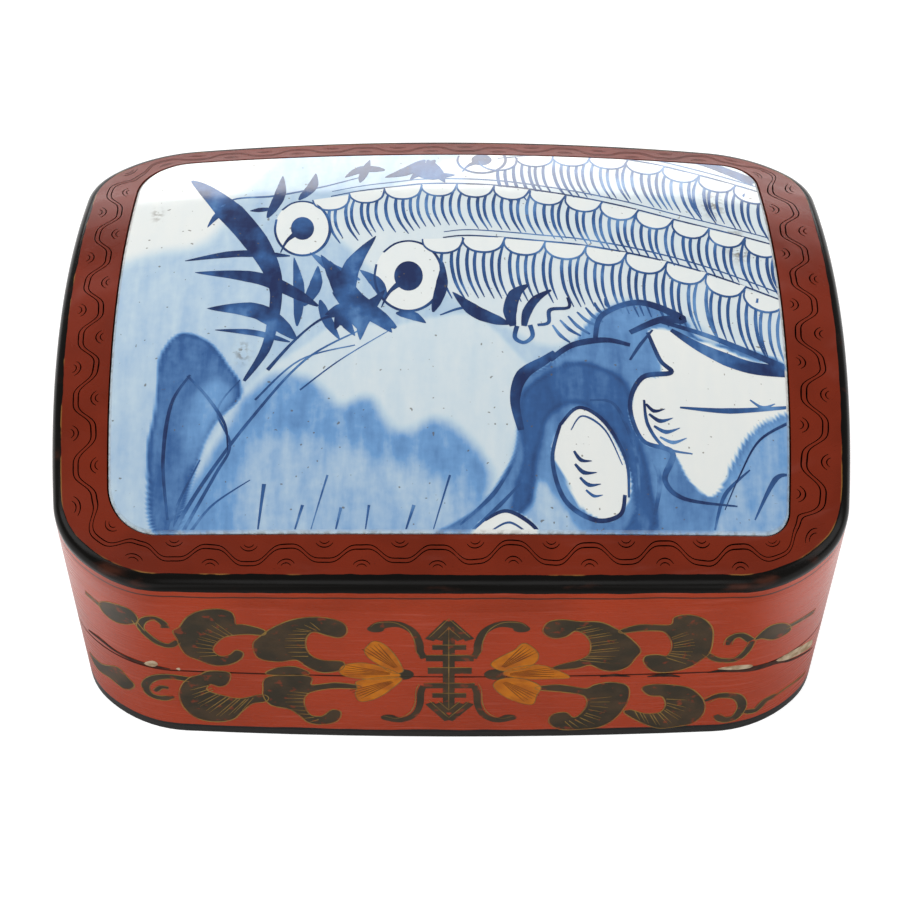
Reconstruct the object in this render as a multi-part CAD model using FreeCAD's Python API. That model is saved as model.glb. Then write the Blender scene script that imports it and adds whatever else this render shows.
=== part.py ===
import FreeCAD
import Part

import math
import os

from FreeCAD import Vector

# Lacquered wooden writing box with a lift-off lid, closed, with its writing tools inside.
# X runs along the length, the front is towards -Y, Z is up from the table.
# All sizes are in millimetres.

# Outline of the box: four bowed sides and soft corners, drawn as tangent arcs
box_length = 180.0
box_width = 130.0
front_turn = 2.8             # half of the angle that the front side turns through, in degrees
side_turn = 5.3              # the same for the left and right sides
corner_radius_front = 30.5   # corner arc next to the front or back side
corner_radius_side = 17.0    # corner arc next to the left or right side

# Heights of the box
bottom_thickness = 2.4
seam_height = 28.8
apex_height = 81.3

# Domed top: an arc along the length, swung round the axis of the old jar
crown_radius = 830.0
jar_radius = 167.0

# Walls and their joints
wall = 7.0
corner_block = 27.0          # length of a corner block along each side
glue_line = 0.05
rim_thickness = 2.0
rim_rise = 5.0               # how far the rim stands above the seam
rim_clearance = 0.35         # play between the rim and the lid
rim_lead_in = 0.7            # bevel on the top edge of the rim

# Top of the lid
frame_thickness = 5.0
arris_radius = 2.4           # outer edge of the frame, eased by two bevels
backing_thickness = 3.0
shard_thickness = 3.8
shard_proud = 0.3            # the old china stands this far above the frame
shard_play = 0.35            # joint round the china
shard_edge = 0.6             # ground edge of the china
border_left = 12.8
border_right = 13.9
border_front = 10.7
border_back = 7.5
window_bow_long = 1.5        # bow of the window's front and back sides
window_bow_short = 2.2       # bow of its left and right sides
window_corner_back_left = 13.0
window_corner_front_left = 12.0
window_corner_back_right = 9.0
window_corner_front_right = 6.0

# Strips that divide the inside
strip_thickness = 3.0
brush_bay = 30.5             # room for the brush, from the rim to its strip
brush_strip_height = 12.0
tool_bay = 59.0              # length of the two bays to the right of the ink stone
stone_strip_height = 10.0
stick_bay = 37.5             # width of the ink stick's bay
stick_strip_height = 8.0

# Ink stone, as large as its bay and the gaps round it leave
stone_height = 14.0
stone_gap = 5.0              # room between the stone and the strips
stone_side_gap = 7.0         # room between the stone and the left rim
stone_front_gap = 15.5       # finger room in front of the stone
stone_corner = 5.0
stone_margin = 6.0           # raised border round the grinding face
stone_face_depth = 1.6
stone_well_depth = 7.5
stone_well_length = 19.0
stone_slope_length = 12.0
stone_edge = 0.8

# Water dropper, in the middle of its bay and as large as the gaps round it leave
dropper_end_gap = 12.5
dropper_side_gap = 5.95
dropper_height = 13.0
dropper_wall = 2.5
dropper_round = 3.0
dropper_edge = 1.2
dropper_hole = 3.0

# Ink stick, as long as its bay and the gaps at its ends leave
stick_end_gap = 3.5
stick_width = 13.0
stick_height = 8.0
stick_round = 1.2
stick_bevel_length = 4.0     # worn end
stick_bevel_height = 2.5
stick_gap = 5.5              # room in front of its strip

# Brush and the two blocks that it lies on
brush_tail_gap = 12.0
brush_tip_gap = 10.0
cap_length = 6.0
cap_diameter = 8.6
cap_taper = 1.8              # length of the rounded end of the cap
cap_end_diameter = 4.8
handle_diameter = 7.6
handle_knot = 0.5            # swelling at each knot of the bamboo
handle_knot_length = 1.6
handle_knots = 2
collar_length = 12.0
collar_taper = 3.0
collar_diameter = 9.4
hair_length = 24.0
hair_belly = 9.8
hair_root = 9.2
hair_belly_at = 0.25         # share of the length where the hair is widest
hair_taper_at = 0.62         # share of the length where it turns in to the point
hair_taper = 0.7             # its width there, as a share of the belly
rest_length = 9.0
rest_side_gap = 5.0          # room between a block and the walls of the brush's bay
rest_height = 7.0
rest_groove = 2.6            # depth of the round groove
rest_play = 0.1
rest_inset = 10.95           # from each end of the handle to the middle of a block

half_length = box_length / 2
half_width = box_width / 2
split_angle = 45.0
lid_wall = wall - rim_clearance
rim_inset = wall + glue_line + rim_thickness
room_x = half_length - rim_inset
room_y = half_width - rim_inset
jar_axis = apex_height - jar_radius
crown_drop = crown_radius - math.sqrt(crown_radius ** 2 - half_length ** 2)
frame_under = jar_radius - crown_drop - frame_thickness
brush_strip_front = room_y - brush_bay - strip_thickness
stone_strip_left = room_x - tool_bay - strip_thickness
stick_strip_front = stick_bay - room_y
bay_middle = room_x - tool_bay / 2
spare = 10.0                 # how far cutting tools run past what they cut


def cosine(angle):
    return math.cos(math.radians(angle))


def sine(angle):
    return math.sin(math.radians(angle))


def outline_arcs():
    """Centre, radius, start and end angle of every arc of the outline, anticlockwise from the front."""
    turns = [0.0, side_turn, split_angle, 90.0 - front_turn, 90.0]
    steep = turns[3]
    along = (half_length - corner_radius_front * (cosine(split_angle) - cosine(steep))
             - corner_radius_side * (cosine(side_turn) - cosine(split_angle)))
    across = (half_width - corner_radius_front * (sine(steep) - sine(split_angle))
              - corner_radius_side * (sine(split_angle) - sine(side_turn)))
    det = cosine(steep) * sine(side_turn) - (1 - cosine(side_turn)) * (1 - sine(steep))
    long_radius = (along * sine(side_turn) - (1 - cosine(side_turn)) * across) / det
    short_radius = (cosine(steep) * across - (1 - sine(steep)) * along) / det
    radii = [short_radius, corner_radius_side, corner_radius_front, long_radius]

    centre = Vector(half_length - short_radius, 0, 0)
    quarter = []
    for i, radius in enumerate(radii):
        if i:
            step = radii[i - 1] - radius
            centre = centre + Vector(cosine(turns[i]), sine(turns[i]), 0) * step
        quarter.append((centre.x, centre.y, radius, turns[i], turns[i + 1]))

    arcs = [(x, -y, r, -high, -low) for x, y, r, low, high in reversed(quarter)]
    arcs += quarter
    arcs += [(-x, y, r, 180 - high, 180 - low) for x, y, r, low, high in reversed(quarter)]
    arcs += [(-x, -y, r, 180 + low, 180 + high) for x, y, r, low, high in quarter]
    return arcs


def outline_wire(inset, z):
    """Closed outline at one height, inside the box's own by inset."""
    edges = []
    for x, y, radius, start, end in outline_arcs():
        points = []
        for angle in (start, (start + end) / 2, end):
            reach = radius - inset
            points.append(Vector(x + reach * cosine(angle), y + reach * sine(angle), z))
        edges.append(Part.Arc(*points).toShape())
    return Part.Wire(edges)


def outline_prism(inset, low, high):
    return Part.Face(outline_wire(inset, low)).extrude(Vector(0, 0, high - low))


def block(x0, x1, y0, y1, z0, z1):
    return Part.makeBox(x1 - x0, y1 - y0, z1 - z0, Vector(x0, y0, z0))


def dome_layer(top, bottom):
    """Solid between two depths below the crowned surface, wider than the box on every side."""
    reach = half_length + spare
    swing = math.degrees(math.atan2(half_width + spare, seam_height - jar_axis)) + 5.0
    centre_z = apex_height - crown_radius

    def arc_point(x, depth):
        radius = crown_radius - depth
        return Vector(x, 0, centre_z + math.sqrt(radius ** 2 - x ** 2))

    upper = Part.Arc(arc_point(-reach, top), arc_point(0, top), arc_point(reach, top)).toShape()
    lower = Part.Arc(arc_point(reach, bottom), arc_point(0, bottom), arc_point(-reach, bottom)).toShape()
    right = Part.makeLine(arc_point(reach, top), arc_point(reach, bottom))
    left = Part.makeLine(arc_point(-reach, bottom), arc_point(-reach, top))
    profile = Part.Face(Part.Wire([upper, right, lower, left]))
    axis = Vector(0, 0, jar_axis)
    profile.rotate(axis, Vector(1, 0, 0), -swing)
    return profile.revolve(axis, Vector(1, 0, 0), 2 * swing)


def under_arch(radius):
    """Round bar about the jar's axis: the frame and the backing board are bent over such a form."""
    reach = half_length + spare
    return Part.makeCylinder(radius, 2 * reach, Vector(-reach, 0, jar_axis), Vector(1, 0, 0))


def window_prism(shrink, low, high):
    """Upright solid with the outline of the window in the lid, drawn in by shrink."""
    x0 = -half_length + border_left + shrink
    x1 = half_length - border_right - shrink
    y0 = -half_width + border_front + shrink
    y1 = half_width - border_back - shrink
    bl, bs = window_bow_long, window_bow_short
    xm, ym = (x0 + x1) / 2, (y0 + y1) / 2
    corners = [(x0 + bs, y0 + bl), (x1 - bs, y0 + bl), (x1 - bs, y1 - bl), (x0 + bs, y1 - bl)]
    middles = [(xm, y0), (x1, ym), (xm, y1), (x0, ym)]
    edges = []
    for i, middle in enumerate(middles):
        a, b = corners[i], corners[(i + 1) % 4]
        edges.append(Part.Arc(Vector(*a, low), Vector(*middle, low), Vector(*b, low)).toShape())
    solid = Part.Face(Part.Wire(edges)).extrude(Vector(0, 0, high - low))
    radii = {(-1, -1): window_corner_front_left, (1, -1): window_corner_front_right,
             (1, 1): window_corner_back_right, (-1, 1): window_corner_back_left}
    for (sx, sy), radius in radii.items():
        upright = []
        for edge in solid.Edges:
            centre = edge.CenterOfMass
            is_upright = abs(edge.Vertexes[0].Z - edge.Vertexes[-1].Z) > 1.0
            if is_upright and (centre.x - xm) * sx > 0 and (centre.y - ym) * sy > 0:
                upright.append(edge)
        solid = solid.makeFillet(radius - shrink, upright)
    return solid


def split_ring(ring, prefix):
    """Four side boards and four corner blocks, cut from a closed wall."""
    x, y, z = half_length - corner_block, half_width - corner_block, apex_height + spare
    far_x, far_y = half_length + spare, half_width + spare
    pieces = {
        "front_board": block(-x, x, -far_y, 0, 0, z),
        "back_board": block(-x, x, 0, far_y, 0, z),
        "left_board": block(-far_x, 0, -y, y, 0, z),
        "right_board": block(0, far_x, -y, y, 0, z),
        "corner_front_left": block(-far_x, -x, -far_y, -y, 0, z),
        "corner_front_right": block(x, far_x, -far_y, -y, 0, z),
        "corner_back_left": block(-far_x, -x, y, far_y, 0, z),
        "corner_back_right": block(x, far_x, y, far_y, 0, z),
    }
    return {prefix + "_" + name: ring.common(tool) for name, tool in pieces.items()}


def upright_edges(solid):
    return [edge for edge in solid.Edges if abs(edge.Vertexes[0].Z - edge.Vertexes[-1].Z) > 1.0]


def edges_at(solid, height):
    """Edges that lie wholly at one height."""
    return [edge for edge in solid.Edges if all(abs(v.Z - height) < 0.05 for v in edge.Vertexes)]


def make_base():
    """Bottom board, walls and the rim that the lid slips over, bevelled on its outer top edge."""
    bottom = outline_prism(0, 0, bottom_thickness)
    ring = outline_prism(0, bottom_thickness, seam_height)
    ring = ring.cut(outline_prism(wall, bottom_thickness, seam_height))

    outside, inside = wall + glue_line, rim_inset
    rim_top = seam_height + rim_rise
    bevel_low = rim_top - rim_lead_in
    straight = outline_prism(outside, bottom_thickness, bevel_low)
    tapered = Part.makeLoft([outline_wire(outside, bevel_low), outline_wire(outside + rim_lead_in, rim_top)],
                            True, True)
    rim = straight.fuse(tapered).cut(outline_prism(inside, bottom_thickness, rim_top))
    return {"base_bottom_board": bottom, "locating_rim": rim, **split_ring(ring, "base")}


def make_lid():
    """Walls, crowned top frame, china panel, its putty bed and the bent board behind it."""
    high = apex_height + spare
    ring = outline_prism(0, seam_height, high).cut(outline_prism(lid_wall, seam_height, high))
    nodes = split_ring(ring.common(under_arch(frame_under - glue_line)), "lid")

    frame = outline_prism(0, seam_height, high).common(dome_layer(0, apex_height - seam_height))
    frame = frame.cut(under_arch(frame_under))
    top_face = max(frame.Faces, key=lambda f: f.CenterOfMass.z)
    arris = top_face.OuterWire.Edges
    flat, steep = arris_radius, arris_radius * math.tan(math.radians(22.5))
    frame = frame.makeChamfer(flat, steep, arris).common(frame.makeChamfer(steep, flat, arris))
    nodes["lid_top_frame"] = frame.cut(window_prism(0, seam_height, high))

    shard_bottom = shard_thickness - shard_proud
    shard = window_prism(shard_play, seam_height, high).common(dome_layer(-shard_proud, shard_bottom))
    face = max(shard.Faces, key=lambda f: f.CenterOfMass.z)
    nodes["porcelain_shard"] = shard.makeChamfer(shard_edge, face.OuterWire.Edges)

    bed = window_prism(glue_line, seam_height, high)
    bed = bed.common(dome_layer(shard_bottom + glue_line, apex_height - seam_height))
    nodes["shard_bedding_putty"] = bed.cut(under_arch(frame_under))

    backing = outline_prism(lid_wall + glue_line, seam_height, high)
    backing = backing.common(under_arch(frame_under - glue_line))
    nodes["lid_backing_board"] = backing.cut(under_arch(frame_under - glue_line - backing_thickness))
    return nodes


def make_strips():
    """Upright strips on the bottom board that part the inside into compartments."""
    inside = outline_prism(rim_inset + glue_line, bottom_thickness, seam_height)
    floor, t = bottom_thickness, strip_thickness
    strips = {
        "brush_divider": block(-half_length, half_length, brush_strip_front, brush_strip_front + t,
                               floor, floor + brush_strip_height),
        "stone_divider": block(stone_strip_left, stone_strip_left + t, -half_width, brush_strip_front,
                               floor, floor + stone_strip_height),
        "ink_stick_divider": block(stone_strip_left + t, half_length, stick_strip_front, stick_strip_front + t,
                                   floor, floor + stick_strip_height),
    }
    return {name: strip.common(inside) for name, strip in strips.items()}


def make_stone():
    """Ink stone with a sunk grinding face that slopes down into a well at its left end."""
    x0, x1 = -room_x + stone_side_gap, stone_strip_left - stone_gap
    y0, y1 = -room_y + stone_front_gap, brush_strip_front - stone_gap
    z0, z1 = bottom_thickness, bottom_thickness + stone_height
    body = block(x0, x1, y0, y1, z0, z1)
    body = body.makeFillet(stone_corner, upright_edges(body))
    body = body.makeChamfer(stone_edge, edges_at(body, z1))

    m, above = stone_margin, z1 + spare
    pocket = block(x0 + m, x1 - m, y0 + m, y1 - m, z0, above)
    pocket = pocket.makeFillet(stone_corner, upright_edges(pocket))
    face_z, well_z = z1 - stone_face_depth, z1 - stone_well_depth
    well_x = x0 + m + stone_well_length
    points = [(x0, well_z), (well_x, well_z), (well_x + stone_slope_length, face_z),
              (x1, face_z), (x1, above), (x0, above), (x0, well_z)]
    profile = Part.Face(Part.makePolygon([Vector(x, y0, z) for x, z in points]))
    cutter = profile.extrude(Vector(0, y1 - y0, 0)).common(pocket)
    return {"ink_stone": body.cut(cutter)}


def make_dropper():
    """Small glazed block, hollow, with a water hole and an air hole in its top."""
    bay_front = stick_strip_front + strip_thickness
    length = tool_bay / 2 - dropper_end_gap
    width = (brush_strip_front - bay_front) / 2 - dropper_side_gap
    x, y = bay_middle, (bay_front + brush_strip_front) / 2
    z0, z1 = bottom_thickness, bottom_thickness + dropper_height
    body = block(x - length, x + length, y - width, y + width, z0, z1)
    body = body.makeFillet(dropper_round, upright_edges(body))
    body = body.makeChamfer(dropper_edge, edges_at(body, z1))
    t = dropper_wall
    body = body.cut(block(x - length + t, x + length - t, y - width + t, y + width - t, z0 + t, z1 - t))
    for hole_x in (x, x + length - 2 * t - dropper_hole / 2):
        hole = Part.makeCylinder(dropper_hole / 2, 2 * t, Vector(hole_x, y, z1 - t - t / 2))
        body = body.cut(hole)
    return {"water_dropper": body}


def make_stick():
    """Pressed ink stick with one end worn to a slope."""
    y1 = stick_strip_front - stick_gap
    y0 = y1 - stick_width
    x0, x1 = bay_middle - tool_bay / 2 + stick_end_gap, bay_middle + tool_bay / 2 - stick_end_gap
    z0, z1 = bottom_thickness, bottom_thickness + stick_height
    body = block(x0, x1, y0, y1, z0, z1)
    along = [e for e in body.Edges if abs(e.Vertexes[0].X - e.Vertexes[1].X) > 1.0]
    body = body.makeFillet(stick_round, along)
    points = [(x0, z1), (x0 + stick_bevel_length, z1), (x0, z1 - stick_bevel_height), (x0, z1)]
    wedge = Part.Face(Part.makePolygon([Vector(x, y0, z) for x, z in points]))
    return {"ink_stick": body.cut(wedge.extrude(Vector(0, stick_width, 0)))}


def turned(points):
    """Solid turned about the X axis from a list of (x, radius) points that starts and ends on the axis."""
    vectors = [Vector(x, 0, r) for x, r in points]
    face = Part.Face(Part.makePolygon(vectors + [vectors[0]]))
    return face.revolve(Vector(0, 0, 0), Vector(1, 0, 0), 360)


def make_brush():
    """Bamboo brush: tail cap, knotted handle, collar and pointed hair, with the two blocks below it."""
    half = handle_diameter / 2
    handle_length = 2 * room_x - brush_tail_gap - brush_tip_gap - cap_length - collar_length - hair_length
    handle = [(0, 0), (0, half)]
    for i in range(handle_knots):
        x = handle_length * (i + 1) / (handle_knots + 1)
        handle += [(x - handle_knot_length / 2, half), (x, half + handle_knot), (x + handle_knot_length / 2, half)]
    handle += [(handle_length, half), (handle_length, 0)]
    cap = [(0, 0), (0, cap_end_diameter / 2), (cap_taper, cap_diameter / 2), (cap_length, cap_diameter / 2),
           (cap_length, 0)]
    collar = [(0, 0), (0, half), (collar_taper, collar_diameter / 2), (collar_length, collar_diameter / 2),
              (collar_length, 0)]
    root, belly = hair_root / 2, hair_belly / 2
    hair = [(0, 0), (0, root), (hair_length * hair_belly_at, belly),
            (hair_length * hair_taper_at, belly * hair_taper), (hair_length, 0)]

    brush_y = room_y - brush_bay / 2
    axis_z = bottom_thickness + rest_height - rest_groove + half + rest_play
    x = brush_tail_gap - room_x
    handle_start = x + cap_length
    nodes = {}
    for name, profile, length in (("brush_tail_cap", cap, cap_length), ("brush_handle", handle, handle_length),
                                  ("brush_collar", collar, collar_length), ("brush_hair", hair, hair_length)):
        solid = turned(profile)
        solid.translate(Vector(x, brush_y, axis_z))
        nodes[name] = solid
        x += length

    groove = Part.makeCylinder(half + rest_play, box_length, Vector(-half_length, brush_y, axis_z), Vector(1, 0, 0))
    reach = brush_bay / 2 - rest_side_gap
    for name, along in (("brush_rest_left", rest_inset), ("brush_rest_right", handle_length - rest_inset)):
        centre = handle_start + along
        rest = block(centre - rest_length / 2, centre + rest_length / 2, brush_y - reach, brush_y + reach,
                     bottom_thickness, bottom_thickness + rest_height)
        nodes[name] = rest.cut(groove)
    return nodes


nodes = {}
for made in (make_base(), make_lid(), make_strips(), make_stone(), make_dropper(), make_stick(), make_brush()):
    nodes.update(made)

os.makedirs("parts", exist_ok=True)
for name, shape in nodes.items():
    solids = shape.Solids
    shape = solids[0] if len(solids) == 1 else Part.makeCompound(solids)
    shape.exportStep("parts/" + name + ".step")
    box = shape.BoundBox
    print(name, len(solids), "solid", round(shape.Volume), "mm3", "valid" if shape.isValid() else "NOT VALID",
          "z", round(box.ZMin, 2), round(box.ZMax, 2))
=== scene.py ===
import bisect
import math

import bmesh
import bpy
import numpy as np
from mathutils import Matrix, Vector, noise


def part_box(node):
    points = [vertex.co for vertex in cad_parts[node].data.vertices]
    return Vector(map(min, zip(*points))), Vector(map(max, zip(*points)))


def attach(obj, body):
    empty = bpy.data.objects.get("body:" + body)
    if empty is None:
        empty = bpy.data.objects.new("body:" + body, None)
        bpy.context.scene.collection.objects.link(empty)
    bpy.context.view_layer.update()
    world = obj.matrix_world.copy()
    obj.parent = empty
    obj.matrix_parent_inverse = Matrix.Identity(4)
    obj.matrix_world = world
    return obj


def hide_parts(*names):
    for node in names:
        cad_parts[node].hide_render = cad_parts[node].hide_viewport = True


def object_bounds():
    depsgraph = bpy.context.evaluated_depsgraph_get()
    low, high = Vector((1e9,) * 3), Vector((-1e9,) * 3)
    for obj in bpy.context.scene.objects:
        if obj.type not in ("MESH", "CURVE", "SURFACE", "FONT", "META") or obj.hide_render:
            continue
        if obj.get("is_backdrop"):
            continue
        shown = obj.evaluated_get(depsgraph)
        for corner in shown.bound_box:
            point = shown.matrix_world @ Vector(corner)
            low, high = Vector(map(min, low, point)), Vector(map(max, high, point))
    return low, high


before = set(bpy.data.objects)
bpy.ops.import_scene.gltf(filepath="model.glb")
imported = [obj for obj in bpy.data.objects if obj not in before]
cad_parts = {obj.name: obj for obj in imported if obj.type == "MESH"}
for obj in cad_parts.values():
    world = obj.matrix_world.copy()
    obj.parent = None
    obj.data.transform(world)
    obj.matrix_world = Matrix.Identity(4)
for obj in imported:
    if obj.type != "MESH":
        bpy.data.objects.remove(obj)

cad_low, cad_high = (Vector(corner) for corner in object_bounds())
mm = 0.001


# Camera and lamps. The box is seen square to its long side, from well above its front edge, with
# a long lens. Five soft lamps stand round it in a white room, two of them behind it, and the one
# in front is the weakest.
scene = bpy.context.scene
scene.view_settings.view_transform = "Standard"

picture_pixels = 900
focal_pixels = 2358.1
sensor_width = 36.0
elevation, azimuth, roll = math.radians(54.89), math.radians(-0.36), math.radians(0.41)
camera_distance = 565.1 * mm
aim = Vector((-0.2, -8.6, 39.1)) * mm
lamps_aim = Vector((0, 0, 40.0)) * mm
room_strength, seen_room_strength = 0.45, 1.0

back = Vector((math.sin(azimuth) * math.cos(elevation), -math.cos(azimuth) * math.cos(elevation),
               math.sin(elevation)))
level = (-back).cross(Vector((0, 0, 1))).normalized()
upright = level.cross(-back)
right = level * math.cos(roll) + upright * math.sin(roll)
up = upright * math.cos(roll) - level * math.sin(roll)
camera_turn = Matrix((right, up, back)).transposed().to_4x4()
camera = bpy.data.objects.new("camera", bpy.data.cameras.new("camera"))
camera.data.sensor_width = sensor_width
camera.data.lens = sensor_width * focal_pixels / picture_pixels
camera.data.clip_start = 10 * mm
camera.matrix_world = Matrix.Translation(aim + back * camera_distance) @ camera_turn
scene.collection.objects.link(camera)
scene.camera = camera


def soft_lamp(name, place, size, watts):
    """Oblong area lamp that faces the middle of the box."""
    lamp = bpy.data.objects.new(name, bpy.data.lights.new(name, "AREA"))
    lamp.data.shape = "RECTANGLE"
    lamp.data.size, lamp.data.size_y = size
    lamp.data.energy = watts
    lamp.location = place
    lamp.rotation_euler = (lamps_aim - Vector(place)).to_track_quat("-Z", "Y").to_euler()
    scene.collection.objects.link(lamp)
    return lamp


back_lamp = soft_lamp("back_lamp", (-0.25, 0.75, 0.85), (0.9, 0.5), watts=4.0)
back_lamp.visible_glossy = False
soft_lamp("low_back_lamp", (0.0, 1.10, 0.32), (1.4, 0.25), watts=6.0)
soft_lamp("left_lamp", (-0.80, -0.25, 0.80), (0.6, 0.6), watts=4.0)
soft_lamp("right_lamp", (0.85, -0.35, 0.60), (0.5, 0.7), watts=3.2)
soft_lamp("front_lamp", (0.05, -1.10, 0.45), (0.8, 0.4), watts=2.0)


def put(tree, socket, value):
    """Gives a socket a plain value or a link."""
    if isinstance(value, bpy.types.NodeSocket):
        tree.links.new(value, socket)
    elif socket.type == "RGBA":
        socket.default_value = (*value, 1)
    else:
        socket.default_value = value


def step(tree, kind, settings=None, **values):
    """New node; a value is named after its socket, or _0, _1 and so on by its place."""
    made = tree.nodes.new(kind)
    for name, value in (settings or {}).items():
        setattr(made, name, value)
    for name, value in values.items():
        socket = int(name[1:]) if name[0] == "_" else name.replace("_", " ")
        put(tree, made.inputs[socket], value)
    return made


def add(tree, kind, settings=None, **values):
    """New shader node, its kind given without the word that they all begin with."""
    return step(tree, "ShaderNode" + kind, settings, **values)


def math_node(tree, operation, a, b=0.0):
    """Result of a sum on two values or links."""
    return add(tree, "Math", {"operation": operation}, _0=a, _1=b).outputs[0]


def plus(tree, a, b):
    """Result of a + b in a node tree."""
    return math_node(tree, "ADD", a, b)


def minus(tree, a, b):
    """Result of a - b in a node tree."""
    return math_node(tree, "SUBTRACT", a, b)


def times(tree, a, b):
    """Result of a * b in a node tree."""
    return math_node(tree, "MULTIPLY", a, b)


def apart(tree, a, b):
    """How far a lies from b, in a node tree."""
    return math_node(tree, "ABSOLUTE", minus(tree, a, b))


def ramped(tree, value, low, high, out_low=0.0, out_high=1.0):
    """Value carried smoothly from low..high to out_low..out_high."""
    return add(tree, "MapRange", {"interpolation_type": "SMOOTHSTEP"}, Value=value, From_Min=low,
               From_Max=high, To_Min=out_low, To_Max=out_high).outputs[0]


def object_place(tree):
    """Place on the object that is being shaded, in its own axes."""
    return add(tree, "TexCoord").outputs["Object"]


def object_xyz(tree):
    """The x, y and z of that place."""
    return add(tree, "SeparateXYZ", None, Vector=object_place(tree)).outputs


room = bpy.data.worlds.new("white_room")
scene.world = room
room.use_nodes = True
tree = room.node_tree
room_light = tree.nodes["Background"].inputs
rays = add(tree, "LightPath").outputs
seen = math_node(tree, "MAXIMUM", rays["Is Camera Ray"], rays["Is Transmission Ray"])
strength = add(tree, "MapRange", None, Value=seen, To_Min=room_strength, To_Max=seen_room_strength)
put(tree, room_light["Strength"], strength.outputs[0])
put(tree, room_light["Color"], (1.0, 1.0, 1.0))


# Floor. A plain sheet of white paper, which keeps the soft shadow of the box. It shines a little
# to the camera, and on both sides of the box in what the lacquer mirrors.
floor_reach = 3.0
paper_tone = 0.45
glow_seen, glow_mirrored = 0.78, 0.95
glow_from, glow_full = 82 * mm, 125 * mm


def new_material(name):
    """Material with its node tree and its main shader."""
    material = bpy.data.materials.new(name)
    material.use_nodes = True
    return material, material.node_tree, material.node_tree.nodes["Principled BSDF"]


def set_sheen(shader, roughness, specular):
    """How rough a surface is and how strongly it reflects, the same all over."""
    shader.inputs["Roughness"].default_value = roughness
    shader.inputs["Specular IOR Level"].default_value = specular


paper, tree, shader = new_material("white_paper")
put(tree, shader.inputs["Base Color"], (paper_tone, paper_tone, paper_tone))
set_sheen(shader, 0.9, 0.2)
rays = add(tree, "LightPath").outputs
from_middle = math_node(tree, "ABSOLUTE", object_xyz(tree)[0])
mirrored = times(tree, rays["Is Glossy Ray"], ramped(tree, from_middle, glow_from, glow_full, 0.0,
                                                     glow_mirrored))
glow = plus(tree, times(tree, rays["Is Camera Ray"], glow_seen), mirrored)
put(tree, shader.inputs["Emission Color"], (1, 1, 1))
put(tree, shader.inputs["Emission Strength"], glow)

floor_corners = [(-1, -1), (1, -1), (1, 1), (-1, 1)]
floor_mesh = bpy.data.meshes.new("floor")
floor_mesh.from_pydata([(x * floor_reach, y * floor_reach, 0) for x, y in floor_corners], [],
                       [(0, 1, 2, 3)])
floor_mesh.materials.append(paper)
floor = bpy.data.objects.new("floor", floor_mesh)
scene.collection.objects.link(floor)
floor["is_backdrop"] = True


# Walls of base and lid. Each is four bowed boards and four corner blocks of softwood, glued
# edge to edge, and the lacquer runs over all the joints. The outline is tangent arcs: long
# flat ones for the sides, two tighter ones for each corner.
half_length, half_width = cad_high.x, cad_high.y
seam_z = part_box("base_front_board")[1][2]
floor_board_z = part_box("base_bottom_board")[1][2]
shard_proud = 0.3 * mm
apex_z = cad_high.z - shard_proud
crown_radius, jar_radius = 830.0 * mm, 167.0 * mm
front_turn, side_turn = 2.8, 5.3
corner_radius_front, corner_radius_side = 30.5 * mm, 17.0 * mm
base_wall, lid_wall = 7.0 * mm, 6.65 * mm
frame_thickness = 5.05 * mm
corner_block = 27.0 * mm
board_column = 0.8 * mm
foot_band, foot_waver = 2.8 * mm, 1.2 * mm
# Half width and waver of the painted shade along the seam, where the gap between lid and base is dark.
seam_shade_reach, seam_shade_waver = 0.38 * mm, 0.3 * mm
lacquer_red = (0.465, 0.046, 0.0070)
lacquer_black = (0.0030, 0.0024, 0.0018)


def cosine(degrees):
    """Cosine of an angle in degrees."""
    return math.cos(math.radians(degrees))


def sine(degrees):
    """Sine of an angle in degrees."""
    return math.sin(math.radians(degrees))


def quarter_arcs():
    """Arcs (x, y, radius, from, to in degrees) from the middle of the right side to that of the back."""
    turns = [0.0, side_turn, 45.0, 90.0 - front_turn, 90.0]
    along = half_length - corner_radius_front * (cosine(45) - cosine(turns[3])) \
        - corner_radius_side * (cosine(side_turn) - cosine(45))
    across = half_width - corner_radius_front * (sine(turns[3]) - sine(45)) \
        - corner_radius_side * (sine(45) - sine(side_turn))
    a, b = cosine(turns[3]), 1 - cosine(side_turn)
    c, d = 1 - sine(turns[3]), sine(side_turn)
    long_radius = (along * d - b * across) / (a * d - b * c)
    short_radius = (a * across - c * along) / (a * d - b * c)
    radii = [short_radius, corner_radius_side, corner_radius_front, long_radius]
    x, y = half_length - short_radius, 0.0
    found = []
    for i, radius in enumerate(radii):
        if i:
            x += (radii[i - 1] - radius) * cosine(turns[i])
            y += (radii[i - 1] - radius) * sine(turns[i])
        found.append((x, y, radius, turns[i], turns[i + 1]))
    return found


quarter = quarter_arcs()
outline = [(x, -y, r, -high, -low) for x, y, r, low, high in reversed(quarter)]
outline += quarter
outline += [(-x, y, r, 180 - high, 180 - low) for x, y, r, low, high in reversed(quarter)]
outline += [(-x, -y, r, 180 + low, 180 + high) for x, y, r, low, high in quarter]
perimeter = sum(r * math.radians(high - low) for x, y, r, low, high in outline)


def on_outline(u, inset=0.0):
    """Point inset from the outline and the way outwards there, u along it from the middle of the front."""
    left = u % perimeter
    for x, y, r, low, high in outline:
        run = r * math.radians(high - low)
        if left <= run or (x, y, r, low, high) == outline[-1]:
            angle = math.radians(low) + left / r
            outwards = Vector((math.cos(angle), math.sin(angle), 0))
            return Vector((x, y, 0)) + outwards * (r - inset), outwards
        left -= run


def dome_z(x, y, depth=0.0):
    """Height of the domed top, or of a layer depth below it: an arc along X swung round the jar's axis."""
    jar_axis = apex_z - jar_radius
    centre = apex_z - crown_radius
    ring = centre + math.sqrt((crown_radius - depth) ** 2 - x * x) - jar_axis
    return jar_axis + math.sqrt(ring * ring - y * y)


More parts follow.
